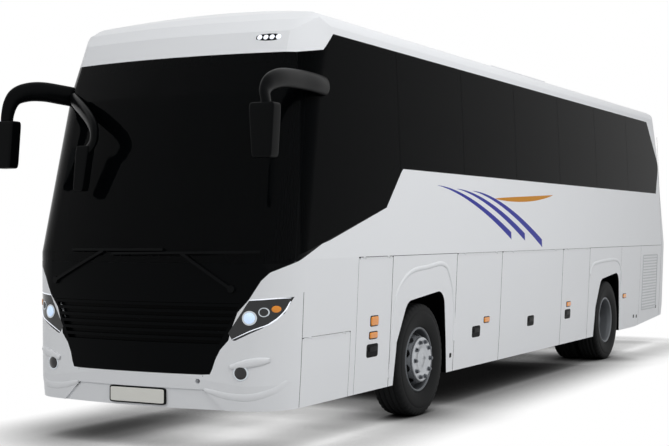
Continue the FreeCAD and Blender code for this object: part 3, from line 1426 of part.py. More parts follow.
for name, side, near in (
    ("Front", "", "-1500"), ("RearLeft", "", "(wheelbase + 710)"), ("RearRight", "-", "(wheelbase + 710)")
):
    barrel = rod(f"{name}Barrel", "y", f"{side}{TANK_ACROSS}", near, RAIL_MIDDLE, "110", "500")
    x_ends = (f"{side}(rail_across + rail_half)", f"{side}{TANK_ACROSS}")
    saddles = []
    for index, along in enumerate(("60", "400")):
        ends = sorted(x_ends, key=value)
        low, high = f"{RAIL_MIDDLE} - 60", f"{RAIL_MIDDLE} + 60"
        saddles.append(
            brick(f"{name}Saddle{index}", *ends, f"{near} + {along}", f"{near} + {along} + 40", low, high)
        )
    tanks.append(fuse(f"{name}Tank", barrel, *saddles))


# Wheels: a round profile turned about the axle line.
def turned(name, x, y, corners):
    """A body turned about an axle that lies along the bus's width."""
    body = new_body(name)
    sketch = sketch_on(body, name + "Profile", "XZ_Plane", x, AXLE, f"-({FRONT_AXLE} + {y})")
    outline(sketch, corners)
    feature = body.newObject("PartDesign::Revolution", name + "Turned")
    feature.Profile = sketch
    feature.ReferenceAxis = (sketch, ["H_Axis"])
    feature.Angle = 360
    sketch.Visibility = False
    return body


SIDE = "(tyre_width / 2)"
BEAD = "(tyre_width / 2 - 34)"
WHEEL_X = "(tyre_face - tyre_width / 2)"
TWIN_X = f"({WHEEL_X} - twin_pitch)"
square_profile = [
    (f"-{SIDE}", "rim_radius"),
    (f"-{SIDE}", "tyre_radius"),
    (SIDE, "tyre_radius"),
    (SIDE, "rim_radius"),
]
SHOULDER = "22"
tyre_profile = [
    *square_profile[:2],
    (f"{SIDE} - {SHOULDER}", "tyre_radius"),
    (SIDE, f"tyre_radius - {SHOULDER}"),
    square_profile[3],
]
HUB_BORE = "(spindle_radius + running_gap)"
CAP = "(tyre_width / 2 + 20)"
front_rim_profile = [
    (CAP, "0"),
    (CAP, "70"),
    ("tyre_width / 2", "78"),
    ("tyre_width / 2", "140"),
    ("60", "rim_radius - 36"),
    (BEAD, "rim_radius - 26"),
    (BEAD, "rim_radius"),
    (f"-{BEAD}", "rim_radius"),
    (f"-{BEAD}", "rim_radius - 13"),
    ("100", "150"),
    ("10", "110"),
    ("10", HUB_BORE),
    ("tyre_width / 2 - 15", HUB_BORE),
    ("tyre_width / 2 - 15", "0"),
]
REAR_BORE = "(rear_spindle + running_gap)"
rear_rim_profile = [
    ("30", "0"),
    ("30", "95"),
    ("-140", "115"),
    ("-140", "225"),
    ("-120", "rim_radius - 36"),
    (BEAD, "rim_radius - 26"),
    (BEAD, "rim_radius"),
    (f"-{BEAD}", "rim_radius"),
    (f"-{BEAD}", "rim_radius - 13"),
    (f"{BEAD} - twin_pitch", "rim_radius - 13"),
    (f"{BEAD} - twin_pitch", "rim_radius"),
    (f"-{BEAD} - twin_pitch", "rim_radius"),
    (f"-{BEAD} - twin_pitch", "rim_radius - 26"),
    ("-200", "rim_radius - 50"),
    ("-180", "150"),
    ("-1.1 * twin_pitch", "120"),
    ("-1.1 * twin_pitch", REAR_BORE),
    ("8", REAR_BORE),
    ("8", "0"),
]
front_tyre = turned("FrontTyre", WHEEL_X, "0", tyre_profile)
front_rim = turned("FrontRim", WHEEL_X, "0", front_rim_profile)
rear_tyres = group(
    "RearTyres",
    turned("RearTyreOuter", WHEEL_X, "wheelbase", square_profile),
    turned("RearTyreInner", TWIN_X, "wheelbase", square_profile),
)
rear_rim = turned("RearRim", WHEEL_X, "wheelbase", rear_rim_profile)
for name, left in (
    ("tyre_front", front_tyre), ("rim_front", front_rim), ("tyre_rear", rear_tyres), ("rim_rear", rear_rim)
):
    right = mirrored("Mirrored" + name, left)
    node(name + "_left", left)
    node(name + "_right", right)

# Steering knuckles: a fork over the beam's eye on a kingpin, with spindle and steering arm.
WEB = "kingpin_across + 56"
knuckle_parts = [
    brick("KnuckleWeb", WEB, "kingpin_across + 92", "-50", "50", "beam_low - 60", "beam_high + 60"),
    brick(
        "KnuckleTop",
        "kingpin_across - 35",
        "kingpin_across + 92",
        "-50",
        "50",
        "beam_high + 30",
        "beam_high + 60",
    ),
    brick(
        "KnuckleFoot",
        "kingpin_across - 35",
        "kingpin_across + 92",
        "-50",
        "50",
        "beam_low - 60",
        "beam_low - 30",
    ),
    rod(
        "Kingpin",
        "z",
        "kingpin_across",
        "0",
        "beam_low - 60",
        "kingpin_radius",
        "beam_high - beam_low + 120",
    ),
    rod(
        "Spindle",
        "x",
        "kingpin_across + 60",
        "0",
        AXLE,
        "spindle_radius",
        f"{WHEEL_X} + tyre_width / 2 - 20 - kingpin_across - 60",
    ),
]
EYE_LOW = "beam_low - 60"
knuckle_parts.append(
    brick(
        "SteeringArm",
        "kingpin_across - 20",
        "kingpin_across + 20",
        "0",
        "arm_length",
        EYE_LOW,
        f"{EYE_LOW} + 24",
    )
)
knuckle_parts.append(rod("SteeringEye", "z", "kingpin_across", "arm_length", EYE_LOW, "28", "24"))
eye_bore = rod("EyeBore", "z", "kingpin_across", "arm_length", "beam_low - 100", "12 + running_gap", "100")
knuckle = cut("KnuckleSource", fuse("KnuckleJoined", *knuckle_parts), eye_bore)
node("knuckle_left", knuckle)
node("knuckle_right", mirrored("KnuckleRight", knuckle))
ROD_LEVEL = "(beam_low - 10)"
tie_parts = [rod("TieTube", "x", "-kingpin_across", "arm_length", ROD_LEVEL, "16", "2 * kingpin_across")]
for side, x in (("Left", "kingpin_across"), ("Right", "-kingpin_across")):
    tie_parts.append(rod(f"TieEnd{side}", "z", x, "arm_length", f"{ROD_LEVEL} - 18", "22", "36"))
    tie_parts.append(rod(f"TiePin{side}", "z", x, "arm_length", f"{ROD_LEVEL} - 56", "12", "56"))
node("tie_rod", fuse("TieRod", *tie_parts))

# Cab: dashboard, steering column and wheel, seats and racks.
dash_outline = [
    (FAR_NOSE, "cab_floor"),
    ("-2250", "cab_floor"),
    ("-2050", "cab_floor + 350"),
    ("-2150", "cab_floor + 470", "60"),
    (FAR_NOSE, "cab_floor + 430"),
]
dash_block = side_block("DashBlock", dash_outline, "-aisle_half", OUTSIDE)
COLUMN_TILT = 35
WHEEL_SEAT = ("550", "-1980", "1450")
column = rod("SteeringColumn", "z", WHEEL_SEAT[0], "-1980 - 280", "1050", "35", "480")
column.Placement.Rotation = FreeCAD.Rotation(FreeCAD.Vector(1, 0, 0), -COLUMN_TILT)
dash_trim = cut("DashTrim", inside("DashInside", dash_block), *lamp_pair[:2])
node("dashboard", fuse("Dashboard", dash_trim, column))
ring_disc = doc.addObject("Part::Cylinder", "SteeringDisc")
ring_disc.Radius, ring_disc.Height = 245, 24
ring_disc.Placement.Base.z = -12
ring_hole = doc.addObject("Part::Cylinder", "SteeringHole")
ring_hole.Radius, ring_hole.Height = 218, 60
ring_hole.Placement.Base.z = -30
ring = cut("SteeringRing", ring_disc, ring_hole)
spoke = doc.addObject("Part::Box", "SteeringSpokes")
spoke.Length, spoke.Width, spoke.Height = 440, 40, 12
spoke.Placement.Base = FreeCAD.Vector(-220, -20, -6)
boss = doc.addObject("Part::Cylinder", "SteeringBoss")
boss.Radius, boss.Height = 60, 50
boss.Placement.Base.z = -35
steering = fuse("SteeringWheel", ring, spoke, boss)
steering.Placement.Rotation = FreeCAD.Rotation(FreeCAD.Vector(1, 0, 0), -COLUMN_TILT)
bind(steering, ".Placement.Base.x", WHEEL_SEAT[0])
tip_along = 480 + 36
bind(steering, ".Placement.Base.y", f"{FRONT_AXLE} - 2260 + {tip_along} * sin({COLUMN_TILT})")
bind(steering, ".Placement.Base.z", f"1050 + {tip_along} * cos({COLUMN_TILT})")
node("steering_wheel", steering)

cushions = []
backs = []
pedestals = []
SEAT_INNER = "aisle_half - 20"
SEAT_OUTER = "aisle_half - 20 + 2 * seat_width"


def seat(tag, inner, outer, near, floor):
    """Cushion, back and pedestal of one double or single seat."""
    cushions.append(
        brick(f"Cushion{tag}", inner, outer, near, f"{near} + 430", f"{floor} + 320", f"{floor} + 440")
    )
    backs.append(
        brick(
            f"Back{tag}",
            inner,
            outer,
            f"{near} + 430",
            f"{near} + 530",
            f"{floor} + 380",
            f"{floor} + 1120",
        ),
    )
    middle = f"({inner} + {outer}) / 2"
    pedestals.append(
        brick(
            f"Pedestal{tag}",
            f"{middle} - 40",
            f"{middle} + 40",
            f"{near} + 60",
            f"{near} + 400",
            floor,
            f"{floor} + 320",
        ),
    )


seat_room = value(f"{DECK_REAR} - deck_front - 150")
for row in range(int(seat_room / value("seat_pitch"))):
    near = f"(deck_front + 150 + {row} * seat_pitch)"
    seat(f"Left{row}", SEAT_INNER, SEAT_OUTER, near, "deck_top")
    row_start = value(near)
    if row_start + 540 < value(WELL_FRONT) or row_start > value(WELL_REAR):
        seat(f"Right{row}", f"-({SEAT_OUTER})", f"-({SEAT_INNER})", near, "deck_top")
seat("Driver", "320", "780", "-1600", "cab_floor")
node("seat_cushions", group("SeatCushions", *cushions))
node("seat_backs", group("SeatBacks", *backs))
node("seat_frames", group("SeatFrames", *pedestals))
rack_block = brick("RackBlock", "780", OUTSIDE, "deck_front + 100", f"{DECK_REAR} - 400", "3060", "3150")
rack = common("RackLeft", rack_block, inner_skin)
node("luggage_racks", group("LuggageRacks", rack, mirrored("RackRight", rack)))


# Mirrors on their arms and windscreen wipers.
def strut(name, start, end, radius):
    """A round bar between two points told from the middle, the front axle and the ground."""
    first = FreeCAD.Vector(*[value(c) for c in start])
    last = FreeCAD.Vector(*[value(c) for c in end])
    bar = doc.addObject("Part::Cylinder", name)
    bind(bar, "Radius", radius)
    bar.Height = (last - first).Length
    bar.Placement.Rotation = FreeCAD.Rotation(UP, last - first)
    for letter, text in zip("xyz", (start[0], f"{FRONT_AXLE} + {start[1]}", start[2])):
        bind(bar, f".Placement.Base.{letter}", text)
    return bar


HEAD_BACK = "(mirror_reach + front_overhang)"


def elbow(name, at, radius):
    ball = doc.addObject("Part::Sphere", name)
    ball.Radius = radius
    for letter, text in zip("xyz", (at[0], f"{FRONT_AXLE} + {at[1]}", at[2])):
        bind(ball, f".Placement.Base.{letter}", text)
    return ball


def mirror(name, head, arm):
    """A head hung from an arm of round bars, its root trimmed on the skin. Drawn at x > 0."""
    low, high = head[4], head[5]
    solids = [brick(name + "Head", *head)]
    middle = (f"({head[0]} + {head[1]}) / 2", f"({head[2]} + {head[3]}) / 2", f"{high} - 10")
    points = [middle, *arm]
    for index, (start, end) in enumerate(zip(points, points[1:])):
        solids.append(strut(f"{name}Bar{index}", start, end, "22"))
        if index:
            solids.append(elbow(f"{name}Elbow{index}", start, 23))
    return cut(name, fuse(name + "Joined", *solids), outer_skin)


MIRROR_FACE = f"(-{HEAD_BACK})"
left_arm = (("1360", f"{MIRROR_FACE} + 240", "2845"), (f"{HALF} - 60", "-1900", "2890"))
left_head = ("1270", "1490", MIRROR_FACE, f"{MIRROR_FACE} + 120", "2250", "2650")
mirror_left = mirror("MirrorLeft", left_head, left_arm)
KERB_FACE = f"({MIRROR_FACE} + 360)"
right_arm = (
    ("1365", f"{KERB_FACE} + 90", "2860"),
    ("1290", "-2360", "2960"),
    (f"{HALF} - 150", "-2075", "3020"),
)
kerb_head = ("1270", "1490", KERB_FACE, f"{KERB_FACE} + 120", "2250", "2650")
kerb_mirror = mirror("KerbMirrorSource", kerb_head, right_arm)
near_head = ("540", "670", "-2700", "-2610", "2050", "2420")
near_arm = (
    ("605", "-2655", "2700"), ("900", "-2600", "3010"), ("1150", "-2300", "3040"), ("1150", "-2080", "3040")
)
near_mirror = mirror("NearMirrorSource", near_head, near_arm)
mirrors_right = mirrored("MirrorsRight", fuse("MirrorsRightSource", kerb_mirror, near_mirror))
node("mirrors", group("Mirrors", mirror_left, mirrors_right))

# Each wiper is a layer that lies on the glass, cut to its arm and blade.
wiper_layer = cut("WiperLayer", moved("WiperSkin", whole_skin, "-wiper_thickness"), whole_skin)


def flat_bar(name, start, end, half):
    """A straight bar in the front view."""
    x0, z0, x1, z1 = (value(c) for c in (*start, *end))
    reach = math.hypot(x1 - x0, z1 - z0)
    across, up = (z0 - z1) / reach, (x1 - x0) / reach
    ends = (start, 1), (end, 1), (end, -1), (start, -1)
    corners = [
        (f"{c[0]} + {half} * ({across:.4f}) * {t}", f"{c[1]} + {half} * ({up:.4f}) * {t}") for c, t in ends
    ]
    return front_block(name, corners, FAR_NOSE, "corner_line")


WIPERS = (
    ("Driver", ("833", "1276"), ("400", "1550"), ("-270", "1543"), ("1050", "1560")),
    ("Kerb", ("-905", "1317"), ("-360", "1566"), ("-710", "1572"), ("230", "1577")),
)
wipers = []
for name, pivot, middle, left_end, right_end in WIPERS:
    cap = rod(name + "WiperCap", "y", pivot[0], FAR_NOSE, pivot[1], "28", "600")
    bars = [flat_bar(name + "Arm", pivot, middle, "12"), flat_bar(name + "Blade", left_end, right_end, "10")]
    wipers.append(common(name + "Wiper", wiper_layer, fuse(name + "WiperBars", cap, *bars)))
node("wipers", group("Wipers", *wipers))
node("tanks", group("Tanks", *tanks))

doc.recompute()
for thing in doc.Objects:
    if "Invalid" in thing.State or "Error" in thing.State:
        raise RuntimeError(f"{thing.Label} failed: {thing.State}")
for thing in nodes:
    if thing.Shape.isNull() or not thing.Shape.isValid() or not thing.Shape.Solids:
        raise RuntimeError(f"{thing.Label} has no valid solid")
for thing in nodes:
    thing.Shape.exportStep(f"parts/{thing.Label}.step")
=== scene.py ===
"""Looks of a two-axle touring coach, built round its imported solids.

All lengths are metres in the row frame: +X to the coach's left, +Y to its rear, +Z up.
Places along the coach are told from the front axle and moved by FRONT_AXLE.
"""

from __future__ import annotations

import json
import logging
import math
from dataclasses import dataclass
from enum import Enum

import bmesh
import bpy
import numpy as np
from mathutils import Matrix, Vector

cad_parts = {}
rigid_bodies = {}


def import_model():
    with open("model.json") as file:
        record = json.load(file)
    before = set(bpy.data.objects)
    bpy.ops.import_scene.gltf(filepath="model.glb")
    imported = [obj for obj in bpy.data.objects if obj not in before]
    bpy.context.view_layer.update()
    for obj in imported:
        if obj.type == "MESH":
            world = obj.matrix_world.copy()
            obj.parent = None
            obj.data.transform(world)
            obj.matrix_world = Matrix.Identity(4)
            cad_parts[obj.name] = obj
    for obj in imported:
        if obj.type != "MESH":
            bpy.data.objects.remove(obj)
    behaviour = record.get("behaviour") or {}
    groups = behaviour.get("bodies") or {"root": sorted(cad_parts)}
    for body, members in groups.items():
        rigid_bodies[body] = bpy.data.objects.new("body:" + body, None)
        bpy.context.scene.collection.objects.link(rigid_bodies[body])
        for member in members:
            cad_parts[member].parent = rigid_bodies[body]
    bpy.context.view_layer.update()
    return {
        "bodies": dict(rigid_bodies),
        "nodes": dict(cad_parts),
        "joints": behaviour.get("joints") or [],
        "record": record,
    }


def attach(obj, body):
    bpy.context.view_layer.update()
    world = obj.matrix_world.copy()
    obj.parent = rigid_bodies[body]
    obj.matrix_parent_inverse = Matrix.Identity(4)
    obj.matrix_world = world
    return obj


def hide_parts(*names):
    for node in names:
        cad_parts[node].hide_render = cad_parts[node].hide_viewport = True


LOG = logging.getLogger("coach")
# The front axle's y, then the tips of nose and tail told from it.
FRONT_AXLE = -3.065
NOSE = -2.75
TAIL = 9.25
WHEELBASE = 6.05
# Half the body's width.
HALF = 1.275
# Radii in plan: the nose's wide bow, its corners and the tail's bow.
BOW = 4.5
CORNER = 0.38
TAIL_BOW = 9.0
# The painted shade on the flank's panel edges: how square to the side those faces lie, and where the shade
# starts and ends.
EDGE_SHADE_FACING = 0.45
EDGE_SHADE_START = -2.05
EDGE_SHADE_TOP = 1.56
# Black paint for the band behind the glass and the nose's wedge, also laid on the flank's panel edges as
# painted shade.
BLACK_PAINT_AND_EDGE_SHADE = "060708"
# How much finer a brushed surface is across its strokes than along them.
BRUSH = 12
# How far the lowest rows of a strip on the skin are held off it.
STRIP_PLAY = 0.0003


class Side(Enum):
    """Which side of the coach a piece is on; the value is the sign of X."""

    LEFT = 1
    RIGHT = -1


SIDES = tuple((side.value, side.name.lower()) for side in Side)


class Pattern(Enum):
    """How a finish's surface is broken up."""

    SMOOTH = "smooth"
    WEAVE = "weave"
    BRUSHED = "brushed"


# ---------------------------------------------------------------- colours and nodes


def linear(code: str, alpha: float = 1.0) -> tuple[float, float, float, float]:
    """Turns an sRGB hex colour to linear.

    Args:
        code: six hex digits, such as "e9eaec".
        alpha: the fourth component.

    Returns:
        Linear red, green, blue and alpha.
    """
    parts = [int(code[i : i + 2], 16) / 255 for i in (0, 2, 4)]
    rgb = [c / 12.92 if c <= 0.04045 else ((c + 0.055) / 1.055) ** 2.4 for c in parts]
    return (rgb[0], rgb[1], rgb[2], alpha)


def add(
    tree: bpy.types.NodeTree, kind: str, settings: dict | None = None, links: dict | None = None
) -> bpy.types.Node:
    """Adds one node.

    Args:
        tree: the node tree.
        kind: the node's type without its prefix.
        settings: attributes, or input values by name or number.
        links: sockets to link, by input name or number.

    Returns:
        The node.
    """
    node = tree.nodes.new("ShaderNode" + kind)
    for key, setting in (settings or {}).items():
        if isinstance(key, int) or key in node.inputs:
            node.inputs[key].default_value = setting
        else:
            setattr(node, key, setting)
    for key, socket in (links or {}).items():
        tree.links.new(socket, node.inputs[key])
    return node


def calc(tree: bpy.types.NodeTree, how: str, first, second=None, third=None) -> bpy.types.NodeSocket:
    """Works out one step of arithmetic in nodes.

    Args:
        tree: the node tree.
        how: the Math node's operation.
        first: a socket or a number.
        second: a socket, a number or nothing.
        third: a socket, a number or nothing.

    Returns:
        The result's socket.
    """
    node = tree.nodes.new("ShaderNodeMath")
    node.operation = how
    for place, item in enumerate((first, second, third)):
        if item is None:
            continue
        if isinstance(item, (int, float)):
            node.inputs[place].default_value = item
        else:
            tree.links.new(item, node.inputs[place])
    return node.outputs[0]


def curve_of(
    tree: bpy.types.NodeTree, place, points: tuple[tuple[float, float], ...]
) -> bpy.types.NodeSocket:
    """Reads a broken line through (place, value) points.

    The place is scaled to 0..1 over the points' reach and the value by the highest one.

    Args:
        tree: the node tree.
        place: the socket that holds the place.
        points: the pairs, rising in place.

    Returns:
        A socket with the value.
    """
    first, reach = points[0][0], points[-1][0] - points[0][0]
    top = max(value for _, value in points)
    share = calc(tree, "DIVIDE", calc(tree, "SUBTRACT", place, first), reach)
    node = add(tree, "FloatCurve", links={"Value": share})
    line = node.mapping.curves[0]
    while len(line.points) < len(points):
        line.points.new(0.5, 0.5)
    for point, (spot, value) in zip(line.points, points):
        point.location = ((spot - first) / reach, value / top)
        point.handle_type = "VECTOR"
    node.mapping.update()
    return calc(tree, "MULTIPLY", node.outputs[0], top)


def share_of(tree: bpy.types.NodeTree, *masks) -> bpy.types.NodeSocket:
    """Multiplies masks of 0 and 1.

    Args:
        tree: the node tree.
        masks: their sockets.

    Returns:
        A socket that is 1 where all are 1.
    """
    whole = masks[0]
    for mask in masks[1:]:
        whole = calc(tree, "MULTIPLY", whole, mask)
    return whole


# ---------------------------------------------------------------- finishes


@dataclass(frozen=True)
class Finish:
    """A surface: what it is made of and how it was made."""

    name: str
    colour: str
    rough: float
    metal: float = 0.0
    coat: float = 0.0
    alpha: float = 1.0
    ior: float = 1.5
    shine: float = 0.5
    sheen: float = 0.0
    pattern: Pattern = Pattern.SMOOTH
    pitch_mm: float = 3.0
    depth_mm: float = 0.0
    spread: float = 0.0
    glow: float = 0.0

    def material(self) -> bpy.types.Material:
        """Builds the finish once.

        Returns:
            The material.
        """
        found = bpy.data.materials.get(self.name)
        if found:
            return found
        made = bpy.data.materials.new(self.name)
        made.use_nodes = True
        tree = made.node_tree
        shader = tree.nodes["Principled BSDF"]
        shader.inputs["Base Color"].default_value = linear(self.colour)
        shader.inputs["Roughness"].default_value = self.rough
        shader.inputs["Metallic"].default_value = self.metal
        shader.inputs["Coat Weight"].default_value = self.coat
        shader.inputs["Coat Roughness"].default_value = 0.04
        shader.inputs["Alpha"].default_value = self.alpha
        if not self.metal:
            shader.inputs["IOR"].default_value = self.ior
            shader.inputs["Specular IOR Level"].default_value = self.shine
        shader.inputs["Sheen Weight"].default_value = self.sheen
        if self.glow:
            shader.inputs["Emission Color"].default_value = linear(self.colour)
            shader.inputs["Emission Strength"].default_value = self.glow
        self.texture(tree, shader)
        return made

    def texture(self, tree: bpy.types.NodeTree, shader: bpy.types.Node) -> None:
        """Adds colour variation and relief at the finish's real scale.

        Args:
            tree: the material's nodes.
            shader: its Principled node.
        """
        where = add(tree, "TexCoord").outputs["Object"]
        if self.pattern is Pattern.WEAVE:
            relief = self.weave(tree, where)
        elif self.pattern is Pattern.BRUSHED:
            stretched = add(tree, "Mapping", {"Scale": (1, BRUSH, BRUSH)}, {"Vector": where}).outputs[0]
            relief = add(
                tree, "TexNoise", {"Scale": 1000 / self.pitch_mm / BRUSH}, {"Vector": stretched}
            ).outputs[0]
        else:
            detail = {"Scale": 1000 / self.pitch_mm, "Detail": 3.0}
            relief = add(tree, "TexNoise", detail, {"Vector": where}).outputs[0]
        if self.depth_mm:
            bump = add(
                tree, "Bump", {"Strength": 0.6, "Distance": self.depth_mm / 1000}, {"Height": relief}
            )
            tree.links.new(bump.outputs[0], shader.inputs["Normal"])
        if self.spread:
            patches = add(tree, "TexNoise", {"Scale": 2.2, "Detail": 4.0}, {"Vector": where}).outputs[0]
            mixed = calc(tree, "MULTIPLY_ADD", patches, 0.6, calc(tree, "MULTIPLY", relief, 0.4))
            base, dark = linear(self.colour), 1.0 - self.spread
            low = tuple(c * dark for c in base[:3]) + (1.0,)
            high = tuple(min(1.0, c * (1.0 + self.spread)) for c in base[:3]) + (1.0,)
            tint = add(tree, "Mix", {"data_type": "RGBA", 6: low, 7: high}, {0: mixed})
            tree.links.new(tint.outputs[2], shader.inputs["Base Color"])

    def weave(self, tree: bpy.types.NodeTree, where) -> bpy.types.NodeSocket:
        """Crosses two bands of threads.

        Args:
            tree: the material's nodes.
            where: the coordinate socket.

        Returns:
            A socket with the height.
        """
        split = add(tree, "SeparateXYZ", links={0: where})
        turn = 2 * math.pi * 1000 / self.pitch_mm
        waves = [calc(tree, "SINE", calc(tree, "MULTIPLY", split.outputs[i], turn)) for i in range(3)]
        return calc(tree, "MULTIPLY", waves[0], calc(tree, "ADD", waves[1], waves[2]))


# Two-pack enamel sprayed on steel and glass fibre: a level clear coat over a solid white.
ENAMEL = Finish("sprayed_white_enamel", "e4e6e9", 0.3, shine=0.04, depth_mm=0.02, pitch_mm=4, spread=0.01)
# The same enamel flatted for the two-tone nose, so that its black stays deep.
NOSE_ENAMEL = Finish(
    "flatted_nose_enamel", "e4e6e9", 0.3, shine=0.03, depth_mm=0.02, pitch_mm=4, spread=0.01
)
# Soda-lime glass with a deep grey body tint, float made, so mirror smooth.
TINTED = Finish(
    "grey_tinted_float_glass", "040506", 0.03, alpha=0.95, shine=0.01, depth_mm=0.01, pitch_mm=60
)
# Laminated glass, a little clearer, so the dashboard shows behind it.
SCREEN = Finish(
    "laminated_windscreen_glass", "040506", 0.03, alpha=0.93, shine=0.035, depth_mm=0.01, pitch_mm=60
)
# Grained polypropylene with a dull sheen.
GRAINED_BLACK = Finish(
    "grained_black_polypropylene", "0a0b0c", 0.5, shine=0.05, pitch_mm=1.5, depth_mm=0.12, spread=0.08
)
# Moulded ABS with a fine satin texture.
SATIN_BLACK = Finish("satin_black_abs", "050607", 0.34, shine=0.05, depth_mm=0.03, pitch_mm=3, spread=0.05)
# Vulcanised rubber with dust in its texture.
TYRE_RUBBER = Finish(
    "vulcanised_tyre_rubber", "0e0f10", 0.8, shine=0.25, depth_mm=0.5, pitch_mm=6, spread=0.22
)
# Moulded bellows rubber, matt and a little chalky.
BELLOWS_RUBBER = Finish("bellows_rubber", "131416", 0.7, shine=0.3, depth_mm=0.3, pitch_mm=5, spread=0.15)
# Pressed steel under a dull dark silver enamel, with brake dust in patches.
WHEEL_SILVER = Finish(
    "silver_enamelled_steel", "5d6064", 0.42, metal=0.6, depth_mm=0.05, pitch_mm=3, spread=0.14
)
# The deep rear discs: a copy of the silver with painted shade for their deep dish, and dustier.
WHEEL_SHADED_DUSTY = Finish(
    "dusty_silver_enamelled_steel", "6a6d71", 0.45, metal=0.5, depth_mm=0.05, pitch_mm=3, spread=0.18
)
# Bare turned steel of the hub flange.
HUB_STEEL = Finish("turned_hub_steel", "b2b5b9", 0.34, metal=0.8, depth_mm=0.03, pitch_mm=3, spread=0.08)
# Zinc plating, dull bright.
NUT_STEEL = Finish("zinc_plated_steel", "787b80", 0.34, metal=1.0, depth_mm=0.03, pitch_mm=2, spread=0.06)
# Cavity wax over black chassis paint, patchy.
CHASSIS_BLACK = Finish(
    "waxed_chassis_black", "101113", 0.55, shine=0.2, depth_mm=0.2, pitch_mm=8, spread=0.25
)
# Calendered vinyl floor with a fine fleck.
FLOOR_VINYL = Finish("grey_floor_vinyl", "3c3f44", 0.6, depth_mm=0.15, pitch_mm=3, spread=0.10)
# Pressed mesh under the body's own enamel, its white painted down to grey as painted shade.
GRILLE_SHADED_GREY = Finish(
    "enamelled_grille_mesh", "bfc2c5", 0.4, shine=0.3, depth_mm=0.05, pitch_mm=4, spread=0.05
)
# Moulded lining with a soft grain.
PANEL_GREY = Finish("grey_moulded_lining", "55585d", 0.6, depth_mm=0.1, pitch_mm=2, spread=0.05)
# Jacquard moquette: a short pile that lights up at its edges.
SEAT_CLOTH = Finish(
    "woven_blue_grey_moquette", "2c3446", 0.85,
    sheen=0.4, pattern=Pattern.WEAVE, pitch_mm=9, depth_mm=0.8, spread=0.18,
)
# Aluminium evaporated on a moulded bowl, mirror bright.
REFLECTOR = Finish(
    "vacuum_metallised_reflector", "c3c9ce", 0.14, metal=1.0, depth_mm=0.05, pitch_mm=12, spread=0.03
)
# Dark chromed housing behind the lamp's clear cover.
LAMP_BOWL = Finish(
    "smoked_lamp_housing", "0c0e11", 0.18,
    metal=0.1, coat=0.1, shine=0.3, depth_mm=0.02, pitch_mm=4, spread=0.06,
)
# A lit projector: glass with a bluish glow.
PROJECTOR = Finish(
    "lit_projector_glass", "bcd2f2", 0.05, coat=0.6, depth_mm=0.02, pitch_mm=8, spread=0.04, glow=0.55
)
# White light-emitting diodes under a frosted bar.
LED_WHITE = Finish("lit_white_led_bar", "f2f6ff", 0.3, depth_mm=0.02, pitch_mm=6, spread=0.02, glow=0.5)
# Injection-moulded acrylic with prisms that break up its reflections.
RED_LENS = Finish("red_acrylic_lens", "8f0d12", 0.12, coat=0.4, depth_mm=0.3, pitch_mm=12, spread=0.06)
AMBER_LENS = Finish("amber_acrylic_lens", "e58a00", 0.18, coat=0.3, depth_mm=0.3, pitch_mm=8, spread=0.06)
# Retroreflective sheet, blank.
PLATE_WHITE = Finish("blank_retroreflective_plate", "dcdcd6", 0.35, depth_mm=0.03, pitch_mm=1, spread=0.02)
# Extruded sealant, dull.
SEAM_DARK = Finish("dark_joint_sealant", "16171a", 0.7, depth_mm=0.05, pitch_mm=3, spread=0.05)
# A pale strip: a painted highlight along the windscreen's edge.
PAINTED_EDGE_HIGHLIGHT = Finish("grey_glazing_sealant", "6e7276", 0.6, depth_mm=0.05, pitch_mm=3, spread=0.05)
# Silvered glass: bright and level.
MIRROR_GLASS = Finish(
    "silvered_mirror_glass", "c9cfd2", 0.03, metal=1.0, depth_mm=0.01, pitch_mm=60, spread=0.02
)
# Drawn and anodised aluminium, brushed along its length.
ALLOY_TRIM = Finish(
    "anodised_aluminium_trim", "a4a8ac", 0.3, metal=1.0, pattern=Pattern.BRUSHED, pitch_mm=1.2, depth_mm=0.02
)

# The edge of the black on nose and flank: (height, |x| + y told from the nose) pairs.
NOSE_LINE = (
    (0.605, 0.0), (0.611, 0.713), (0.661, 0.742), (0.729, 0.769), (0.806, 0.817),
    (0.882, 0.900), (0.941, 0.915), (1.095, 0.989), (1.194, 1.100), (1.24, 1.138),
    (1.339, 1.223), (1.402, 1.319), (1.439, 1.458), (1.488, 1.657), (1.54, 1.80),
    (1.619, 2.025), (1.646, 2.156), (1.93, 3.235), (1.95, 3.9),
)


def nose_mask(tree: bpy.types.NodeTree, split: bpy.types.Node) -> bpy.types.NodeSocket:
    """Marks the black of the nose and of the wedge that runs back from it.

    A point is in it where |x| + y, told from the nose, is less than the broken line of its
    height, and above the line's foot.

    Args:
        tree: the material's nodes.
        split: the node that gives x, y and z.

    Returns:
        A socket that is 1 in the black.
    """
    across = calc(tree, "ABSOLUTE", split.outputs[0])
    reach = calc(tree, "ADD", calc(tree, "ADD", across, split.outputs[1]), -(NOSE + FRONT_AXLE))
    inside = calc(tree, "LESS_THAN", reach, curve_of(tree, split.outputs[2], NOSE_LINE))
    return share_of(tree, inside, calc(tree, "GREATER_THAN", split.outputs[2], NOSE_LINE[1][0]))


def repainted(name: str, base: Finish) -> tuple[bpy.types.Material, bpy.types.NodeSocket]:
    """Copies a finish so that its colour can be painted over.

    Args:
        name: the copy's name.
        base: the finish.

    Returns:
        The copy and its shader's colour input.
    """
    made = base.material().copy()
    made.name = name
    return made, made.node_tree.nodes["Principled BSDF"].inputs["Base Color"]


def laid_over(tree: bpy.types.NodeTree, below, tint: tuple[float, ...], mask) -> bpy.types.NodeSocket:
    """Lays a colour over another.

    Args:
        tree: the node tree.
        below: the socket with the colour below.
        tint: the colour to lay.
        mask: a socket that is 1 where it is laid.

    Returns:
        The socket with both.
    """
    return add(tree, "Mix", {"data_type": "RGBA", 7: tint}, {0: mask, 6: below}).outputs[2]


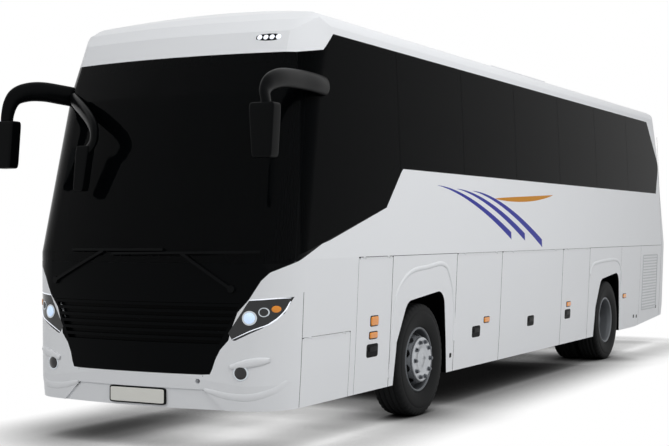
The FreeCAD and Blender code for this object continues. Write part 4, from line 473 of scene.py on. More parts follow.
@dataclass(frozen=True)
class NosePaint:
    """White enamel and black gloss that meet along the nose's edge line."""

    name: str
    base: Finish
    black: str = "050607"

    def material(self) -> bpy.types.Material:
        """Builds the two tones once.

        Returns:
            The material.
        """
        found = bpy.data.materials.get(self.name)
        if found:
            return found
        made, target = repainted(self.name, self.base)
        tree = made.node_tree
        split = add(tree, "SeparateXYZ", links={0: add(tree, "TexCoord").outputs["Object"]})
        white = target.links[0].from_socket
        toned = laid_over(tree, white, linear(self.black), nose_mask(tree, split))
        tree.links.new(toned, target)
        return made


@dataclass(frozen=True)
class LiveryPaint:
    """White enamel with painted sweeps on the flanks, black behind the glass band and painted shade on its
    panels' edges.
    """

    name: str
    base: Finish
    sill: tuple[tuple[float, float], ...]
    head: tuple[tuple[float, float], ...]
    wedge_end: float = 0.0

    def material(self) -> bpy.types.Material:
        """Builds the enamel with its sweeps, its black and the painted shade on the edges of its panels.

        Returns:
            The material.
        """
        found = bpy.data.materials.get(self.name)
        if found:
            return found
        made, target = repainted(self.name, self.base)
        tree = made.node_tree
        place = add(tree, "TexCoord").outputs
        split = add(tree, "SeparateXYZ", links={0: place["Object"]})
        along, up = split.outputs[1], split.outputs[2]
        colour = self.swept(tree, along, up, target.links[0].from_socket)
        masks = [
            share_of(
                tree,
                calc(tree, "GREATER_THAN", along, self.sill[0][0]),
                calc(tree, "LESS_THAN", along, self.sill[-1][0]),
                calc(tree, "GREATER_THAN", up, curve_of(tree, along, self.sill)),
                calc(tree, "LESS_THAN", up, curve_of(tree, along, self.head)),
            )
        ]
        low = calc(tree, "LESS_THAN", up, NOSE_LINE[-2][0])
        ahead = calc(tree, "LESS_THAN", along, self.wedge_end + FRONT_AXLE)
        masks.append(share_of(tree, nose_mask(tree, split), low, ahead))
        # Painted shade: faces that turn away from the side, such as the edges of lids and the lips of the
        # arches, are painted black.
        facing = add(tree, "SeparateXYZ", links={0: place["Normal"]}).outputs[0]
        masks.append(
            share_of(
                tree,
                calc(tree, "LESS_THAN", calc(tree, "ABSOLUTE", facing), EDGE_SHADE_FACING),
                calc(tree, "GREATER_THAN", along, EDGE_SHADE_START + FRONT_AXLE),
                calc(tree, "LESS_THAN", up, EDGE_SHADE_TOP),
            )
        )
        for mask in masks:
            colour = laid_over(tree, colour, linear(BLACK_PAINT_AND_EDGE_SHADE), mask)
        tree.links.new(colour, target)
        return made

    def swept(self, tree: bpy.types.NodeTree, along, up, colour) -> bpy.types.NodeSocket:
        """Paints the sweeps.

        With t from 0 to 1 along a sweep, it is the set of points whose height differs from
        z0 + rise * t^bend by less than a half width. A blue sweep's half width is w t^0.8, so
        it is cut off blunt at its end, and a gold one's is w sin(pi t)^0.7.

        Args:
            tree: the material's nodes.
            along: the socket with y.
            up: the socket with z.
            colour: the socket with the white.

        Returns:
            The socket with white and sweeps.
        """
        blue, gold = linear("2a2f95"), linear("c4820f")
        sweeps = (
            (0.33, 2.30, 2.155, -0.49, 1.6, 0.040, blue),
            (0.81, 2.73, 2.135, -0.485, 1.6, 0.042, blue),
            (1.22, 3.30, 2.125, -0.55, 1.6, 0.046, blue),
            (1.85, 3.75, 2.060, 0.08, 2.4, 0.030, gold),
        )
        for start, end, low, rise, bend, half, tint in sweeps:
            share = calc(tree, "DIVIDE", calc(tree, "SUBTRACT", along, start + FRONT_AXLE), end - start)
            held = calc(tree, "MINIMUM", calc(tree, "MAXIMUM", share, 0.0), 1.0)
            line = calc(tree, "MULTIPLY_ADD", calc(tree, "POWER", held, bend), rise, low)
            if tint is blue:
                width = calc(tree, "POWER", held, 0.8)
            else:
                width = calc(tree, "POWER", calc(tree, "SINE", calc(tree, "MULTIPLY", held, math.pi)), 0.7)
            off = calc(tree, "ABSOLUTE", calc(tree, "SUBTRACT", up, line))
            mask = share_of(
                tree,
                calc(tree, "LESS_THAN", off, calc(tree, "MULTIPLY", width, half)),
                calc(tree, "GREATER_THAN", share, 0.0),
                calc(tree, "LESS_THAN", share, 1.0),
            )
            colour = laid_over(tree, colour, tint, mask)
        return colour


def along_coach(points: tuple[tuple[float, float], ...]) -> tuple[tuple[float, float], ...]:
    """Moves (y, z) pairs told from the front axle to the row frame.

    Args:
        points: the pairs.

    Returns:
        The moved pairs.
    """
    return tuple((y + FRONT_AXLE, z) for y, z in points)


BAND_HEAD = along_coach(
    ((-2.34, 1.6), (-2.262, 2.12), (-2.1, 3.15), (-1.85, 3.19), (-1.675, 3.34), (8.24, 3.34), (8.81, 2.70))
)
LEFT_SILL = along_coach(((-2.335, 1.54), (-0.79, 1.93), (-0.43, 2.28), (8.6, 2.28), (8.805, 2.7)))
RIGHT_SILL = along_coach(((-2.12, 2.974), (-1.36, 2.974), (-1.34, 2.28), (8.6, 2.28), (8.805, 2.7)))
LEFT_PAINT = LiveryPaint("livery_enamel_left", ENAMEL, LEFT_SILL, BAND_HEAD)
RIGHT_PAINT = LiveryPaint("livery_enamel_right", ENAMEL, RIGHT_SILL, BAND_HEAD, -2.1)
DOOR_SILL = along_coach(((-3.2, 1.15), (-1.29, 1.15)))
DOOR_HEAD = along_coach(((-3.2, 3.2), (-1.29, 3.2)))
# The wedge ends far ahead of the nose here, so the door has none.
DOOR_PAINT = LiveryPaint("door_enamel", ENAMEL, DOOR_SILL, DOOR_HEAD, -9.0)
NOSE_PAINT = NosePaint("two_tone_nose_enamel", NOSE_ENAMEL)


# ---------------------------------------------------------------- meshes


def mesh_piece(
    name: str, points: np.ndarray, faces: np.ndarray, finish, smooth: bool = True
) -> bpy.types.Object:
    """Puts points and faces into a new object at the origin.

    Args:
        name: the piece's name.
        points: an array of (x, y, z).
        faces: an array of corner numbers.
        finish: the finish to wear.
        smooth: shade it smooth.

    Returns:
        The object, its poles and seams closed.
    """
    mesh = bpy.data.meshes.new(name)
    mesh.from_pydata(points.reshape(-1, 3).tolist(), [], faces.tolist())
    shell = bmesh.new()
    shell.from_mesh(mesh)
    bmesh.ops.remove_doubles(shell, verts=shell.verts, dist=1e-5)
    shell.to_mesh(mesh)
    shell.free()
    mesh.polygons.foreach_set("use_smooth", np.full(len(mesh.polygons), smooth))
    made = bpy.data.objects.new(name, mesh)
    bpy.context.scene.collection.objects.link(made)
    mesh.materials.append(finish.material())
    return made


def fasten(piece: bpy.types.Object, body: str = "coach_body", node: str = "") -> None:
    """Lets a piece ride on its body and stand for its node.

    Args:
        piece: the piece.
        body: the body it rides on.
        node: the node that it replaces, if any.
    """
    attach(piece, body)
    if node:
        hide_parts(node)


def grid_faces(rows: int, columns: int, wrap_rows: bool = False, wrap_columns: bool = False) -> np.ndarray:
    """Corner numbers of the quads of a rows by columns grid.

    Args:
        rows: the number of rows of points.
        columns: the number of points in a row.
        wrap_rows: close the last row to the first.
        wrap_columns: close the last column to the first.

    Returns:
        An (n, 4) array.
    """
    r = np.arange(rows if wrap_rows else rows - 1)[:, None]
    c = np.arange(columns if wrap_columns else columns - 1)[None, :]
    r2, c2 = (r + 1) % rows, (c + 1) % columns
    quads = np.stack([r * columns + c, r * columns + c2, r2 * columns + c2, r2 * columns + c], axis=-1)
    return quads.reshape(-1, 4)


def merged(parts: list[tuple[np.ndarray, np.ndarray]]) -> tuple[np.ndarray, np.ndarray]:
    """Joins several (points, quads) into one.

    Args:
        parts: the pairs to join.

    Returns:
        One pair.
    """
    points, faces, shift = [], [], 0
    for p, f in parts:
        p = p.reshape(-1, 3)
        points.append(p)
        faces.append(f + shift)
        shift += len(p)
    return np.concatenate(points), np.concatenate(faces)


def turned(
    profile: np.ndarray, centre: tuple[float, float, float], steps: int, closed: bool = True
) -> tuple[np.ndarray, np.ndarray]:
    """Turns a profile about a line along X through the centre.

    The point (s, r) goes to (cx + s, cy + r cos a, cz + r sin a).

    Args:
        profile: an (n, 2) array of (s, r).
        centre: the axle's place.
        steps: how many steps round.
        closed: join the profile's end to its start.

    Returns:
        Points and quads.
    """
    a = np.linspace(0, 2 * np.pi, steps, endpoint=False)[:, None]
    s, r = profile[None, :, 0], profile[None, :, 1]
    points = np.stack(
        [centre[0] + s + 0 * a, centre[1] + r * np.cos(a), centre[2] + r * np.sin(a)], axis=-1
    )
    return points, grid_faces(steps, len(profile), True, closed)


def rounded_block(low, high, power: float = 0.35, steps: int = 20) -> tuple[np.ndarray, np.ndarray]:
    """A block with rounded edges: a superellipsoid.

    With c(t) = sign(cos t) |cos t|^p and s(t) likewise, a point is the centre plus half the
    size times (c(v) c(u), c(v) s(u), s(v)).

    Args:
        low: the lowest corner.
        high: the highest corner.
        power: 1 is round and 0 is square.
        steps: rings from foot to top; each has twice as many points.

    Returns:
        Points and quads.
    """
    low, high = np.array(low, float), np.array(high, float)
    u = np.linspace(-np.pi, np.pi, steps * 2, endpoint=False)[None, :]
    v = np.linspace(-np.pi / 2, np.pi / 2, steps)[:, None]
    cu, su, cv, sv = (np.sign(t) * np.abs(t) ** power for t in (np.cos(u), np.sin(u), np.cos(v), np.sin(v)))
    form = np.stack([cv * cu, cv * su, sv + 0 * u], axis=-1)
    points = (low + high) / 2 + form * (high - low) / 2
    return points, grid_faces(steps, steps * 2, False, True)


def tube(path: np.ndarray, radius, sides: int = 16, flat: float = 1.0) -> tuple[np.ndarray, np.ndarray]:
    """Carries an ellipse along a path.

    Each ring is the path's point plus r (f cos a n + sin a b), where n is the normal of the
    path's own plane, squared to the path, and b is square to both.

    Args:
        path: an (n, 3) array.
        radius: one radius or one per point.
        sides: points round the tube.
        flat: the section's size out of the path's plane over its size in it.

    Returns:
        Points and quads.
    """
    path = np.asarray(path, float)
    ahead = np.gradient(path, axis=0)
    ahead /= np.linalg.norm(ahead, axis=1, keepdims=True)
    normal = np.linalg.svd(path - path.mean(axis=0))[2][2]
    across = normal - ahead * (ahead @ normal)[:, None]
    across /= np.linalg.norm(across, axis=1, keepdims=True)
    upward = np.cross(across, ahead)
    a = np.linspace(0, 2 * np.pi, sides, endpoint=False)
    r = np.broadcast_to(np.asarray(radius, float), (len(path),))[:, None, None]
    rings = path[:, None] + r * (
        flat * np.cos(a)[:, None] * across[:, None] + np.sin(a)[:, None] * upward[:, None]
    )
    ends = [path[:1, None] + 0 * rings[:1], rings, path[-1:, None] + 0 * rings[:1]]
    points = np.concatenate(ends)
    return points, grid_faces(len(path) + 2, sides, False, True)


def smooth_path(knots, count: int = 40) -> np.ndarray:
    """A curve through the knots by Catmull and Rom's formula.

    Args:
        knots: the points to pass.
        count: points on the curve.

    Returns:
        An (count, 3) array.
    """
    p = np.asarray(knots, float)
    p = np.vstack([2 * p[0] - p[1], p, 2 * p[-1] - p[-2]])
    t = np.linspace(0, len(p) - 3 - 1e-9, count)
    i = t.astype(int)
    f = (t - i)[:, None]
    a, b, c, d = p[i], p[i + 1], p[i + 2], p[i + 3]
    return 0.5 * (2 * b + (c - a) * f + (2 * a - 5 * b + 4 * c - d) * f**2 + (3 * b - a - 3 * c + d) * f**3)


def strip_rows(line: np.ndarray, half, lift: float, foot: float) -> list[tuple[np.ndarray, float]]:
    """Rows of a strip that follows a line drawn on the skin.

    A row is the line moved across itself by a share of the half width. It stands off the skin
    by a share of the lift, and the outermost rows reach under it.

    Args:
        line: an (n, 2) array.
        half: half the strip's width, one or an (n, 1) array.
        lift: how far its middle stands off the skin.
        foot: how far its outermost rows do, so less than 0.

    Returns:
        The places and the distance off the skin of each row.
    """
    ahead = np.gradient(line, axis=0)
    ahead /= np.linalg.norm(ahead, axis=1, keepdims=True)
    across = np.stack([-ahead[:, 1], ahead[:, 0]], axis=-1)
    section = ((-1, foot), (-1, 0.0), (-0.6, 0.7), (0, 1.0), (0.6, 0.7), (1, 0.0), (1, foot))
    rows = []
    for share, rise in section:
        off = rise * lift if rise > 0 else rise + STRIP_PLAY
        rows.append((line + across * (half * share), off))
    return rows


def side_x(z: np.ndarray) -> np.ndarray:
    """Half width of the skin at a height: the body's half width less its tumblehome.

    Args:
        z: heights.

    Returns:
        Half widths.
    """
    inset = np.interp(z, [0.34, 0.65, 1.5, 2.8, 3.15], [0.060, 0.040, 0.0, 0.048, 0.066])
    return HALF - inset


def corner_of(z: np.ndarray) -> tuple[np.ndarray, np.ndarray]:
    """The middle of the front corner's circle, which touches the nose's bow and the side.

    Its distance from the bow's middle is B - R, and from the side R.

    Args:
        z: heights.

    Returns:
        Its x and its y from the front axle.
    """
    inner = side_x(z) - CORNER
    return inner, NOSE + set_back(z) + BOW - np.sqrt((BOW - CORNER) ** 2 - inner**2)


def set_back(z: np.ndarray) -> np.ndarray:
    """How far the nose lies behind its foremost point at a height.

    Args:
        z: heights.

    Returns:
        The distances, read from a broken line.
    """
    levels = [0.34, 0.65, 1.5, 2.8, 3.15, 3.33, 3.44, 3.52]
    return np.interp(z, levels, [0.015, 0, 0.038, 0.345, 0.485, 0.56, 0.67, 0.83])


def nose_y(x: np.ndarray, z: np.ndarray) -> np.ndarray:
    """The skin's front in the row frame: a wide bow, then a corner arc tangent to it.

    y = y0(z) + B - sqrt(B^2 - x^2) up to the corner, and there the corner's middle less
    sqrt(R^2 - d^2), with d the distance across from that middle.

    Args:
        x: places across.
        z: heights.

    Returns:
        Places along.
    """
    x = np.abs(x)
    inner, middle = corner_of(z)
    bowed = NOSE + set_back(z) + BOW - np.sqrt(BOW**2 - x**2)
    rounded = middle - np.sqrt(np.maximum(CORNER**2 - (x - inner) ** 2, 0))
    return np.where(x < inner * BOW / (BOW - CORNER), bowed, rounded) + FRONT_AXLE


def skin_x(y: np.ndarray, z: np.ndarray) -> np.ndarray:
    """Half width of the skin at a place on the flank or round its front corner.

    It is the corner circle's middle plus sqrt(R^2 - d^2), where d is how far the place lies
    ahead of that middle, and 0 behind it.

    Args:
        y: places along, from the front axle.
        z: heights.

    Returns:
        Half widths.
    """
    inner, middle = corner_of(z)
    ahead = np.clip(middle - y, 0, CORNER * 0.98)
    return inner + np.sqrt(CORNER**2 - ahead**2)


# ---------------------------------------------------------------- studio


@dataclass
class Studio:
    """Floor, light and the camera at the photograph's angle."""

    eye: tuple[float, float, float] = (6.248, -14.184, 1.722)
    yaw: float = 0.48893
    pitch: float = 0.00658
    roll: float = -0.00117
    focal_px: float = 1303.8
    centre_px: tuple[float, float] = (336.08, 222.23)
    frame_px: tuple[int, int] = (669, 446)
    sensor_mm: float = 36.0
    floor_half: float = 60.0
    shadow_reach: float = 0.9
    shadow_power: float = 3.0

    def build(self) -> None:
        """Makes the studio."""
        self.camera()
        self.floor()
        self.world()
        self.lamps()
        bpy.context.scene.view_settings.view_transform = "Standard"

    def camera(self) -> None:
        """Places the camera; its lens and shift come from the fitted focal length and centre."""
        width = self.frame_px[0]
        data = bpy.data.cameras.new("camera")
        data.sensor_width = self.sensor_mm
        data.lens = self.focal_px * self.sensor_mm / width
        data.shift_x = (width / 2 - self.centre_px[0]) / width
        data.shift_y = (self.centre_px[1] - self.frame_px[1] / 2) / width
        data.clip_end = 200.0
        camera = bpy.data.objects.new("camera", data)
        bpy.context.scene.collection.objects.link(camera)
        camera.location = self.eye
        level = math.cos(self.pitch)
        ahead = Vector((-math.sin(self.yaw) * level, math.cos(self.yaw) * level, math.sin(self.pitch)))
        turn = ahead.to_track_quat("-Z", "Y").to_matrix().to_4x4()
        camera.rotation_euler = turn.to_euler()
        camera.rotation_euler.rotate_axis("Z", self.roll)
        bpy.context.scene.camera = camera

    def floor(self) -> None:
        """A wide pale floor: white to the camera, glass and metal, but for the coach's soft shadow.

        Its white is the share of open sky over it to the power 3; to other rays it is a pale
        matt floor.
        """
        span = self.floor_half
        points = np.array([[-span, -span, 0], [span, -span, 0], [span, span, 0], [-span, span, 0]])
        pale = Finish("pale_studio_floor", "c8c8c8", 0.8, depth_mm=0.02, pitch_mm=10, spread=0.01)
        floor = mesh_piece("studio_floor", points, np.array([[0, 1, 2, 3]]), pale, False)
        tree = floor.data.materials[0].node_tree
        end = next(node for node in tree.nodes if node.type == "OUTPUT_MATERIAL")
        open_sky = add(tree, "AmbientOcclusion", {"samples": 24, "Distance": self.shadow_reach}).outputs["AO"]
        strength = calc(tree, "POWER", open_sky, self.shadow_power)
        white = add(tree, "Emission", {"Color": (1, 1, 1, 1)}, {"Strength": strength})
        matt = tree.nodes["Principled BSDF"].outputs[0]
        mixed = add(tree, "MixShader", links={0: self.seen(tree), 1: matt, 2: white.outputs[0]})
        tree.links.new(mixed.outputs[0], end.inputs["Surface"])

    def seen(self, tree: bpy.types.NodeTree) -> bpy.types.NodeSocket:
        """Marks the rays to which the backdrop is plain white.

        Args:
            tree: the node tree.

        Returns:
            A socket that is 1 for the camera's, mirrored and refracted rays.
        """
        rays = add(tree, "LightPath").outputs
        seen = calc(tree, "MAXIMUM", rays["Is Camera Ray"], rays["Is Transmission Ray"])
        return calc(tree, "MAXIMUM", seen, rays["Is Glossy Ray"])

    def world(self) -> None:
        """A plain light dome, brighter overhead, that is white to the camera, glass and metal."""
        world = bpy.data.worlds.new("studio")
        bpy.context.scene.world = world
        world.use_nodes = True
        tree = world.node_tree
        tree.nodes.clear()
        height = add(tree, "SeparateXYZ", links={0: add(tree, "TexCoord").outputs["Generated"]}).outputs[2]
        span = {"From Min": -0.05, "From Max": 0.5, "To Min": 0.15, "To Max": 0.55}
        ramp = add(tree, "MapRange", span, {"Value": height})
        strength = calc(tree, "MAXIMUM", ramp.outputs[0], self.seen(tree))
        shade = add(tree, "Background", {"Color": (1, 1, 1, 1)}, {"Strength": strength})
        add(tree, "OutputWorld", links={"Surface": shade.outputs[0]})

    def lamps(self) -> None:
        """Soft lamps: a long one over the left flank and a wide one before the nose."""
        for name, at, aim, size, power in (
            ("over_flank", (9, -4, 9), (0, 1, 1.5), (12, 5), 720),
            ("before_nose", (-4, -15, 7), (0, -5, 1.5), (7, 5), 290),
        ):
            data = bpy.data.lights.new(name, "AREA")
            data.shape = "RECTANGLE"
            data.size, data.size_y = size
            data.energy = power
            lamp = bpy.data.objects.new(name, data)
            bpy.context.scene.collection.objects.link(lamp)
            lamp.location = at
            lamp.visible_glossy = False
            lamp.rotation_euler = (Vector(aim) - Vector(at)).to_track_quat("-Z", "Y").to_euler()


# ---------------------------------------------------------------- solids' finishes


@dataclass
class Dressing:
    """Gives every carried-over solid its finish."""

    nodes: dict

    def build(self) -> None:
        """Assigns the finishes by node."""
        table = {
            ENAMEL: ("front_dome", "roof_panel", "rear_panel", "roof_air_unit", "engine_lid"),
            NOSE_PAINT: ("front_bumper", "front_mask", "cab_frame"),
            SCREEN: ("windscreen",),
            TINTED: ("side_glass_left", "side_glass_right", "rear_glass", "front_door_glass"),
            GRAINED_BLACK: ("mirrors", "wipers", "dashboard", "steering_wheel", "wheel_housings"),
            CHASSIS_BLACK: (
                "underframe",
                "front_axle_beam",
                "rear_axle_housing",
                "knuckle_left",
                "knuckle_right",
                "tie_rod",
                "tanks",
                "engine_block",
                "door_bearings",
                "seat_frames",
            ),
            BELLOWS_RUBBER: ("air_springs",),
            FLOOR_VINYL: ("floor_deck", "cab_floor_steps", "bay_bulkheads"),
            PANEL_GREY: ("luggage_racks",),
            ALLOY_TRIM: ("front_door_post", "middle_door_post"),
            LAMP_BOWL: ("headlamps",),
            RED_LENS: ("tail_lamps",),
            SEAT_CLOTH: ("seat_cushions", "seat_backs"),
            LEFT_PAINT: (
                "side_wall_left",
                "skirt_panels_left",
                "front_flap_left",
                "service_flap_left",
                "luggage_lid_left_1",
                "luggage_lid_left_2",
                "luggage_lid_left_3",
            ),
            RIGHT_PAINT: (
                "side_wall_right",
                "skirt_panels_right",
                "luggage_lid_right_1",
                "luggage_lid_right_2",
                "middle_door_leaf",
            ),
            DOOR_PAINT: ("front_door_leaf",),
        }
        for finish, names in table.items():
            for name in names:
                mesh = self.nodes[name].data
                mesh.materials.clear()
                mesh.materials.append(finish.material())


# ---------------------------------------------------------------- wheels


@dataclass
class Tyre:
    """A 295/80 R22.5 tyre: ribbed tread, rounded shoulders, bulged sidewalls."""

    radius: float = 0.522
    half: float = 0.149
    bead: float = 0.298
    steps: int = 240
    grooves: tuple[float, ...] = (-0.078, -0.027, 0.027, 0.078)
    lug_steps: int = 5
    notch_steps: int = 2
    lug_start: float = 0.105
    lug_reach: float = 0.021
    notch_depth: float = 0.007

    def profile(self) -> np.ndarray:
        """The section, from the outer bead over the tread to the inner bead and back inside.

        Returns:
            An (n, 2) array of (s, r).
        """
        half, top = self.half, self.radius
        wall = [
            (0.112, self.bead),
            (0.122, self.bead + 0.012),
            (0.134, self.bead + 0.040),
            (0.1455, self.bead + 0.085),
            (half, self.bead + 0.125),
            (0.1475, self.bead + 0.150),
            (0.1452, self.bead + 0.153),
            (0.1465, self.bead + 0.157),
            (0.1420, top - 0.040),
            (0.1350, top - 0.020),
            (0.1270, top - 0.0075),
        ]
        tread = [(0.112, top - 0.003)]
        for groove in reversed(self.grooves):
            tread += [
                (groove + 0.0075, top - 0.001),
                (groove + 0.005, top - 0.014),
                (groove - 0.005, top - 0.014),
                (groove - 0.0075, top - 0.001),
            ]
        tread.append((-0.112, top - 0.003))
        back = [(-s, r) for s, r in reversed(wall)]
        inside = [
            (-0.100, self.bead + 0.02),
            (-0.120, self.bead + 0.12),
            (0.120, self.bead + 0.12),
            (0.100, self.bead + 0.02),
        ]
        return np.array(wall + tread + back + inside)

    def build(self, centre: tuple[float, float, float]) -> tuple[np.ndarray, np.ndarray]:
        """One tyre, its shoulders cut into lugs by notches of two steps in every five.

        Args:
            centre: the tyre's middle.

        Returns:
            Points and quads.
        """
        profile = self.profile()
        points, faces = turned(profile, centre, self.steps)
        phase = np.arange(self.steps) % self.lug_steps
        notch = (phase < self.notch_steps).astype(float)[:, None]
        edge = (
            (np.abs(profile[:, 0]) > self.lug_start) & (profile[:, 1] > self.radius - self.lug_reach)
        )[None, :]
        shrink = 1 - notch * edge * (self.notch_depth / self.radius)
        axis = np.array([0, centre[1], centre[2]])
        spokes = (points - axis) * np.array([0, 1, 1])
        points = points - spokes + spokes * shrink[..., None]
        return points, faces


@dataclass
class Rim:
    """A pressed steel disc wheel with ten hand holes, nuts and hub."""

    deep: bool = False
    steps: int = 200
    holes: int = 10
    nuts: int = 10
    nut_circle: float = 0.1675
    nut_sides: int = 12
    front_seat: float = 0.156
    rear_seat: float = -0.138
    nut: tuple[tuple[float, float], ...] = (
        (0.0, 0.023), (0.006, 0.023), (0.008, 0.0165), (0.026, 0.0165), (0.028, 0.010),
        (0.032, 0.009), (0.033, 0.0),
    )
    hole_circle: float = 0.232
    hole_reach: float = 0.019
    hole_share: float = 0.27
    hub_edge: float = 0.2
    first_disc_key: int = 5
    hub_steps: int = 64
    front_disc: tuple[tuple[float, float], ...] = (
        (-0.118, 0.298), (0.112, 0.298), (0.119, 0.291), (0.112, 0.284), (0.085, 0.276),
        (0.045, 0.268), (0.030, 0.258), (0.052, 0.243), (0.100, 0.222), (0.128, 0.206),
    )
    rear_disc: tuple[tuple[float, float], ...] = (
        (-0.118, 0.298), (0.112, 0.298), (0.119, 0.291), (0.112, 0.284), (0.070, 0.275),
        (-0.070, 0.268), (-0.104, 0.258), (-0.122, 0.235), (-0.130, 0.200), (-0.138, 0.165),
        (-0.138, 0.06),
    )
    front_hub: tuple[tuple[float, float], ...] = (
        (0.118, 0.0), (0.118, 0.203), (0.124, 0.208), (0.148, 0.208), (0.156, 0.202),
        (0.158, 0.192), (0.158, 0.122), (0.150, 0.112), (0.150, 0.064), (0.153, 0.058),
        (0.153, 0.0),
    )
    rear_hub: tuple[tuple[float, float], ...] = (
        (-0.150, 0.0), (-0.150, 0.125), (-0.128, 0.125), (-0.122, 0.118), (0.008, 0.104),
        (0.022, 0.098), (0.026, 0.085), (0.028, 0.03), (0.028, 0.0),
    )

    def disc(self, centre: tuple[float, float, float], out: int) -> tuple[np.ndarray, np.ndarray]:
        """The pressed sheet from hub to flange, without its hand holes.

        A quad is left out where ((r - rh) / a)^2 + (place in its sector / b)^2 < 1.

        Args:
            centre: the wheel's middle.
            out: the sign of the outward side.

        Returns:
            Points and quads.
        """
        key = np.array(self.rear_disc if self.deep else self.front_disc)
        t = np.linspace(0, len(key) - 1, 66)
        i = np.minimum(t.astype(int), len(key) - 2)
        profile = key[i] + (t - i)[:, None] * (key[i + 1] - key[i])
        points, faces = turned(profile * np.array([out, 1]), centre, self.steps, False)
        row, column = faces[:, 0] // len(profile), faces[:, 0] % len(profile)
        angle = (row + 0.5) * 2 * np.pi / self.steps
        sector = (angle * self.holes / (2 * np.pi)) % 1.0 - 0.5
        radius = profile[column, 1]
        hole = ((radius - self.hole_circle) / self.hole_reach) ** 2 + (sector / self.hole_share) ** 2 < 1
        on_disc = (t[column] > self.first_disc_key) & (radius > self.hub_edge)
        faces = faces[~(hole & on_disc)]
        if out < 0:
            faces = faces[:, ::-1]
        return points, faces

    def hub(self, centre: tuple[float, float, float], out: int) -> tuple[np.ndarray, np.ndarray]:
        """The hub and its cap as a turned form.

        Args:
            centre: the wheel's middle.
            out: the sign of the outward side.

        Returns:
            Points and quads.
        """
        key = np.array(self.rear_hub if self.deep else self.front_hub)
        points, faces = turned(key * np.array([out, 1]), centre, self.hub_steps, False)
        return points, faces if out > 0 else faces[:, ::-1]

    def nut_ring(self, centre: tuple[float, float, float], out: int) -> tuple[np.ndarray, np.ndarray]:
        """Flanged nuts with stud ends.

        A nut's radius is r (1 + 0.05 cos 6b), which gives it its flats.

        Args:
            centre: the wheel's middle.
            out: the sign of the outward side.

        Returns:
            Points and quads.
        """
        face = self.rear_seat if self.deep else self.front_seat
        key = np.array(self.nut)
        b = np.linspace(0, 2 * np.pi, self.nut_sides, endpoint=False)
        parts = []
        wobble = 1 + 0.05 * np.cos(6 * b)[:, None]
        for angle in np.arange(self.nuts) * 2 * np.pi / self.nuts:
            cy = centre[1] + self.nut_circle * math.cos(angle)
            cz = centre[2] + self.nut_circle * math.sin(angle)
            s = centre[0] + out * (face + key[None, :, 0])
            r = key[None, :, 1] * wobble
            points = np.stack(
                [s + 0 * r, cy + r * np.cos(b)[:, None], cz + r * np.sin(b)[:, None]], axis=-1
            )
            faces = grid_faces(self.nut_sides, len(key), True, False)
            parts.append((points, faces if out > 0 else faces[:, ::-1]))
        return merged(parts)


@dataclass
class WheelSet:
    """All the wheels, each riding on its own body."""

    track: float = 1.086
    twin: float = 0.334
    level: float = 0.522
    sheet: float = 0.007

    def build(self) -> None:
        """Makes tyres, discs, hubs and nuts for the four wheel bodies."""
        for out, word in SIDES:
            for axle, place in (("front", 0.0), ("rear", WHEELBASE)):
                centre = (out * self.track, place + FRONT_AXLE, self.level)
                body = f"wheel_{axle}_{word}"
                tyres = [Tyre().build(centre)]
                rim = Rim(deep=axle == "rear")
                sheets = [rim.disc(centre, out)]
                if axle == "rear":
                    inner = (out * (self.track - self.twin), centre[1], centre[2])
                    tyres.append(Tyre().build(inner))
                    sheets.append(Rim().disc(inner, out))
                rubber = mesh_piece(f"tyres_{axle}_{word}", *merged(tyres), TYRE_RUBBER)
                fasten(rubber, body, f"tyre_{axle}_{word}")
                # The deep rear discs wear the silver's copy with painted shade.
                disc = mesh_piece(
                    f"rim_discs_{axle}_{word}", *merged(sheets), WHEEL_SHADED_DUSTY if rim.deep else WHEEL_SILVER
                )
                solid = disc.modifiers.new("sheet", "SOLIDIFY")
                solid.thickness = self.sheet
                solid.offset = -1.0
                fasten(disc, body, f"rim_{axle}_{word}")
                hub = mesh_piece(
                    f"hub_{axle}_{word}", *rim.hub(centre, out), WHEEL_SILVER if rim.deep else HUB_STEEL
                )
                fasten(hub, body)
                nuts = mesh_piece(f"wheel_nuts_{axle}_{word}", *rim.nut_ring(centre, out), NUT_STEEL, False)
                fasten(nuts, body)
                LOG.info("wheel %s %s", axle, word)


# ---------------------------------------------------------------- mirrors


